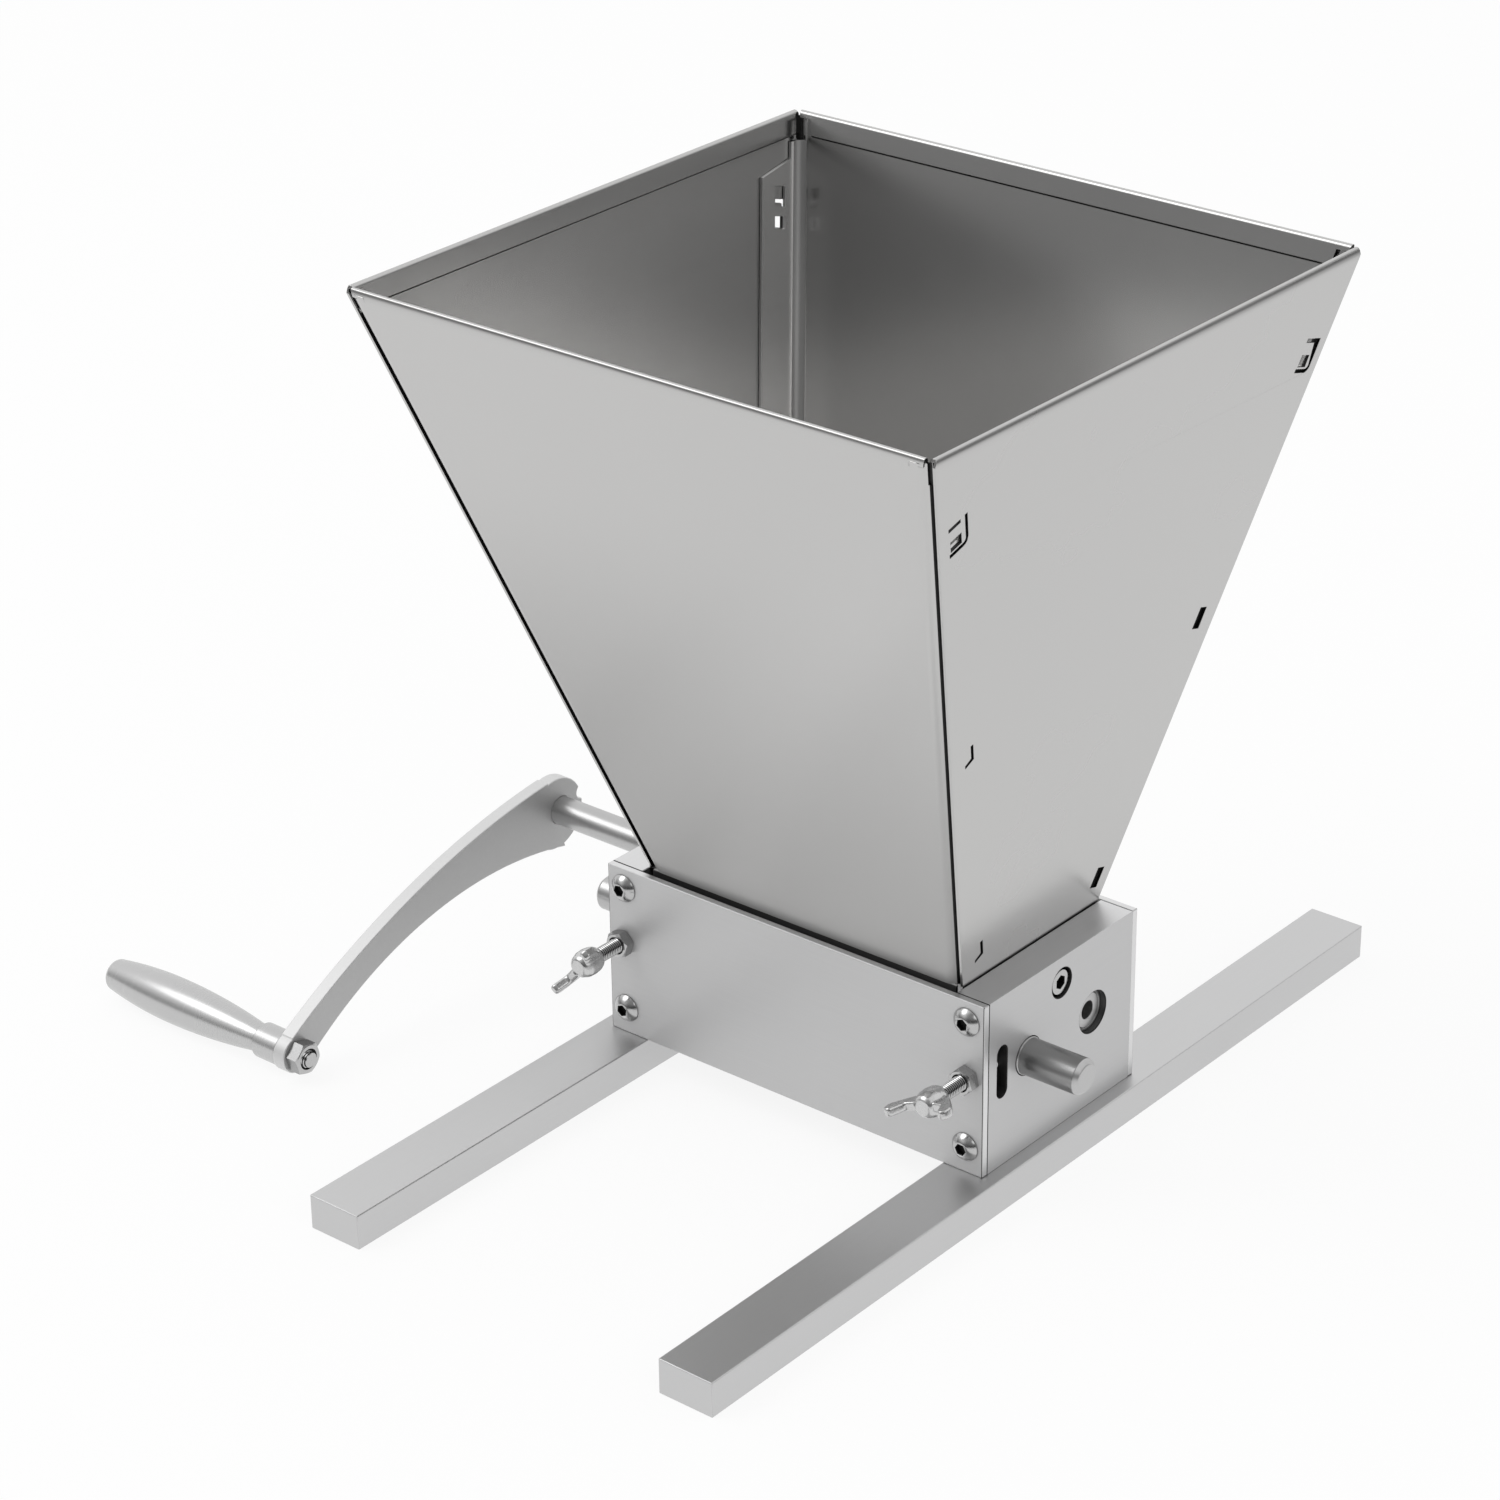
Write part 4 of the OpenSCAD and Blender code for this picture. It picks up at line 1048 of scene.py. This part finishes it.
class MILL_OT_crank(bpy.types.Operator):
    """Crank arm and its set screw"""

    bl_idname = "mill.crank"
    bl_label = "Crank arm"

    def execute(self, context):
        s = context.scene.mill_sizes
        arm = broken_edges("crank_arm", "arm_face", "crank", "crank_metal", s.edge)
        refinish(arm, "arm_edge", lambda at, normal: abs(normal.x) < SQUARE)
        broken_edges("arm_set_screw", "bright_screw", "crank", "fasteners", s.small_edge)
        return {"FINISHED"}


# Rings along the grip's body and round its far end
BODY_RINGS = 40
END_RINGS = 8


class MILL_OT_grip(bpy.types.Operator):
    """Turned grip with its collar, bolt and nut"""

    bl_idname = "mill.grip"
    bl_label = "Grip"

    neck: measure("Neck", "Diameter of the grip at its collar", 0.0088)
    end: measure("Far end", "Diameter of the grip at its far end", 0.0104)
    fullest_share: FloatProperty(
        name="Fullest place", description="Place of the largest diameter as a share of the length",
        default=0.58)
    rounding: measure("End rounding", "Radius at the grip's far end", 0.0022)

    bore: measure("Bore", "Diameter of the grip's bore", 0.007)
    recess: measure("Recess", "Diameter of the recess in the grip's far end", 0.008)
    recess_depth: measure("Recess depth", "Depth of the recess, which the bolt's head fills", 0.0028)
    bevel: measure("Grip bevel", "Bevel at the grip's neck", 0.0003)
    head_edge: measure("Head edge", "Bevel on the recess and on the bolt's head", 0.0004)
    head: measure("Bolt head", "Diameter of the bolt's head", 0.0078)
    pin: measure("Bolt pin", "Diameter of the bolt inside the grip", 0.0069)
    pin_start: measure("Pin's start", "How far the pin starts from the bolt's head", 0.0026)
    pin_end: measure("Pin's end", "How far the pin ends from the nut", 0.0139)
    pitch: measure("Bolt pitch", "Distance between two turns of the bolt's thread", 0.001)
    thread: measure("Bolt thread", "Length of the bolt's thread", 0.009)

    def profile(self, length, widest):
        """Rings of the grip from its neck at height 0 to its far end and back through its bore."""
        neck, bore, recess = self.neck / 2, self.bore / 2, self.recess / 2
        fullest = self.fullest_share * length
        rows = [(bore, 0.3 * length), (bore, self.bevel), (bore + self.bevel, 0),
                (neck - self.bevel, 0), (neck, self.bevel)]
        body_end = length - self.rounding
        for i in range(1, BODY_RINGS + 1):
            at = body_end * i / BODY_RINGS
            near = at <= fullest
            away = 1 - at / fullest if near else (at - fullest) / (length - fullest)
            narrow = neck if near else self.end / 2
            rows.append((widest - (widest - narrow) * away * away, at))
        last = rows[-1][0]
        for i in range(1, END_RINGS + 1):
            angle = math.pi / 2 * i / END_RINGS
            rows.append((last - self.rounding * (1 - math.cos(angle)),
                         body_end + self.rounding * math.sin(angle)))
        floor = length - self.recess_depth
        return rows + [
            (recess + self.head_edge / 2, length - self.head_edge / 4),
            (recess, length - self.head_edge), (recess, floor), (bore, floor)]

    def bolt(self, s, y, z, nut):
        """Bolt with its head in the recess, a pin inside the grip and a thread at its tip."""
        inner, outer = (corner.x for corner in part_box("grip_bolt"))
        radius, head, edge, pin = s.bolt / 2, self.head / 2, self.head_edge, self.pin / 2
        tip = outer - inner
        groove = radius * 0.84
        stem = turned("bolt_stem", [
            (0, tip), (radius * 0.78, tip), (groove, tip - edge / 2), (groove, self.recess_depth),
            (head, self.recess_depth), (head, edge), (head - 0.75 * edge, 0), (0, 0)],
            place=along_x(inner, y, z))
        ridges = thread("bolt_thread", radius, self.pitch, self.thread, along_x(outer - edge, y, z, -1))
        start = inner + self.pin_start
        length = nut - self.pin_end - start
        core = turned("bolt_pin", [(0, 0), (pin, 0), (pin, length), (0, length)],
                      place=along_x(start, y, z))
        bolt = join("grip_bolt_finished", [stem, ridges, core])
        hand_over(bolt, "crank", "fasteners", "grip_bolt")

    def execute(self, context):
        s = context.scene.mill_sizes
        low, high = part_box("grip")
        y, z = (low.y + high.y) / 2, (low.z + high.z) / 2
        rows = self.profile(high.x - low.x, (high.z - low.z) / 2)
        grip = turned("grip_finished", rows, "polished_grip", GRIP_SMOOTH, steps=80,
                      place=along_x(high.x, y, z, -1), closed=True)
        hand_over(grip, "grip", "crank_metal", "grip")
        broken_edges("grip_collar", "polished_grip", "crank", "crank_metal", s.collar_edge)
        low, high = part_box("grip_nut")
        spin = Matrix.Rotation(s.arm_angle, 4, "X")
        place = Matrix.Translation((high.x, y, z)) @ spin @ Matrix.Rotation(-math.pi / 2, 4, "Y")
        rows = nut_rows(s.bolt_nut_width, high.x - low.x, s.bolt / 2 * BORE_PLAY)
        nut = turned("grip_nut_finished", rows, place=place, closed=True, hidden=BORE)
        hand_over(nut, "crank", "fasteners", "grip_nut")
        # The nut's flats get painted shade
        refinish(nut, "nut_flat", lambda at, normal: abs(normal.x) < FLAT)
        self.bolt(s, y, z, low.x)
        return {"FINISHED"}


# Place of the camera, and the directions that its view has to the right, down and ahead
EYE = (0.73748, -0.94205, 0.71609)
RIGHT = Vector((0.77148437, 0.63614117, -0.01167373))
DOWN = Vector((0.2756548, -0.35072598, -0.89498923))
AHEAD = Vector((-0.57343377, 0.68725228, -0.44593498))


class MILL_OT_stage(bpy.types.Operator):
    """Pale floor, soft light and the camera"""

    bl_idname = "mill.stage"
    bl_label = "Stage"

    floor_size: measure("Floor size", "Reach of the floor from its middle", 12)
    whiteness: FloatProperty(
        name="Whiteness", description="Share of plain white in the floor as the camera sees it",
        default=0.88)
    daylight: FloatProperty(
        name="Daylight", description="Strength of the sky's soft light", default=0.8)
    key_power: FloatProperty(
        name="Key light", description="Power of the lamp from the left", default=9.0, unit="POWER")
    fill_power: FloatProperty(
        name="Fill light", description="Power of the lamp from the right", default=3.0, unit="POWER")

    def floor(self, colour):
        """Floor that the camera sees nearly white, and that darkens far away as metal mirrors it."""
        bm = bmesh.new()
        bmesh.ops.create_grid(bm, x_segments=1, y_segments=1, size=self.floor_size)
        material = bpy.data.materials.new("pale_floor")
        board = empty_board(material)
        rays = board.node("ShaderNodeLightPath", out="Is Camera Ray")
        glossy = rays.twin("Is Glossy Ray")
        seen = rays + glossy + rays.twin("Is Transmission Ray")
        away = board.node(
            "ShaderNodeVectorMath", {0: board.node("ShaderNodeTexCoord", out="Object")}, "Value",
            operation="LENGTH")
        sweep = ramp(board, away, 0.55, 1.3, 0.0, 0.8)
        matt = board.node("ShaderNodeBsdfDiffuse", {"Color": shade(colour, 1)})
        white = board.node("ShaderNodeEmission", {"Color": (1, 1, 1, 1), "Strength": 1.0})
        room = board.node("ShaderNodeEmission", {"Color": (1, 1, 1, 1), "Strength": 0.0})
        lit = board.node("ShaderNodeMixShader", {0: seen * self.whiteness, 1: matt, 2: white})
        mixed = board.node("ShaderNodeMixShader", {0: glossy * sweep, 1: lit, 2: room})
        board.node("ShaderNodeOutputMaterial", {"Surface": mixed})
        floor = new_piece("floor", bm, [material])

    def world(self, toward):
        """Sky that is white to the camera and soft daylight to matt surfaces.

        Metal mirrors a room in it, which is dim toward the camera, and dim near the floor on the
        camera's side.
        """
        world = bpy.data.worlds.new("soft_white")
        bpy.context.scene.world = world
        board = empty_board(world)
        rays = board.node("ShaderNodeLightPath", out="Is Camera Ray")
        glossy = rays.twin("Is Glossy Ray")
        way = board.node("ShaderNodeTexCoord", out="Generated")
        facing = board.node(
            "ShaderNodeVectorMath", {0: way, 1: toward}, "Value", operation="DOT_PRODUCT")
        lobe = ramp(board, facing, 0.55, 0.92, 1.0, 0.32)
        level = board.node("ShaderNodeSeparateXYZ", {0: way}, "Z")
        low = ramp(board, level, 0.1, 0.6, 0.8, 0.0)
        front = ramp(board, facing, -0.4, 0.0)
        room = lobe * (1 - front * low)
        open_sky = rays + rays.twin("Is Transmission Ray")
        strength = open_sky + (1 - open_sky) * (glossy * room + (1 - glossy) * self.daylight)
        sky = board.node("ShaderNodeBackground", {"Color": (1, 1, 1, 1), "Strength": strength})
        board.node("ShaderNodeOutputWorld", {"Surface": sky})

    def lamp(self, name, place, aim, size, power):
        """Round soft lamp that shines at its aim."""
        data = bpy.data.lights.new(name, "AREA")
        data.shape = "DISK"
        data.size = size
        data.energy = power
        data.specular_factor = 0.5
        lamp = bpy.data.objects.new(name, data)
        lamp.location = place
        lamp.rotation_mode = "QUATERNION"
        lamp.rotation_quaternion = (Vector(aim) - Vector(place)).to_track_quat("-Z", "Y")
        bpy.context.scene.collection.objects.link(lamp)

    def execute(self, context):
        self.floor(context.scene.mill_colours.floor)
        self.world(tuple(-AHEAD))
        aim = (0, 0, 0.1)
        self.lamp("Key", (-1.1, -1.0, 1.7), aim, 1.3, self.key_power)
        self.lamp("Fill", (1.5, -0.6, 1.2), aim, 1.1, self.fill_power)
        data = bpy.data.cameras.new("Camera")
        data.sensor_width = 36.0
        data.lens = context.scene.mill_sizes.lens
        data.clip_start = 0.05
        camera = bpy.data.objects.new("Camera", data)
        turn = Matrix((RIGHT, -DOWN, -AHEAD)).transposed().to_4x4()
        camera.matrix_world = Matrix.Translation(EYE) @ turn
        context.scene.collection.objects.link(camera)
        context.scene.camera = camera
        context.scene.view_settings.view_transform = "Standard"
        return {"FINISHED"}


class MILL_PT_panel(bpy.types.Panel):
    """Makes the mill's pieces one by one"""

    bl_label = "Malt mill"
    bl_idname = "MILL_PT_panel"
    bl_space_type = "VIEW_3D"
    bl_region_type = "UI"
    bl_category = "Malt mill"

    def draw(self, context):
        for group in (context.scene.mill_sizes, context.scene.mill_colours):
            box = self.layout.box()
            for key in group.__annotations__:
                box.prop(group, key)
        for operator in OPERATORS:
            self.layout.operator(operator.bl_idname)


OPERATORS = (
    MILL_OT_stage, MILL_OT_body, MILL_OT_screws, MILL_OT_wing_screws, MILL_OT_rollers,
    MILL_OT_shafts, MILL_OT_crank, MILL_OT_grip, MILL_OT_hopper)
CLASSES = (MillSizes, MillColours, *OPERATORS, MILL_PT_panel)


def register():
    for each in CLASSES:
        bpy.utils.register_class(each)
    bpy.types.Scene.mill_sizes = PointerProperty(type=MillSizes)
    bpy.types.Scene.mill_colours = PointerProperty(type=MillColours)


def unregister():
    del bpy.types.Scene.mill_colours
    del bpy.types.Scene.mill_sizes
    for each in reversed(CLASSES):
        bpy.utils.unregister_class(each)


def main():
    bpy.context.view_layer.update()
    register()
    bpy.ops.mill.stage()
    bpy.ops.mill.body()
    bpy.ops.mill.screws()
    bpy.ops.mill.wing_screws()
    bpy.ops.mill.rollers()
    bpy.ops.mill.shafts()
    bpy.ops.mill.crank()
    bpy.ops.mill.grip()
    bpy.ops.mill.hopper()


if __name__ == "__main__":
    main()
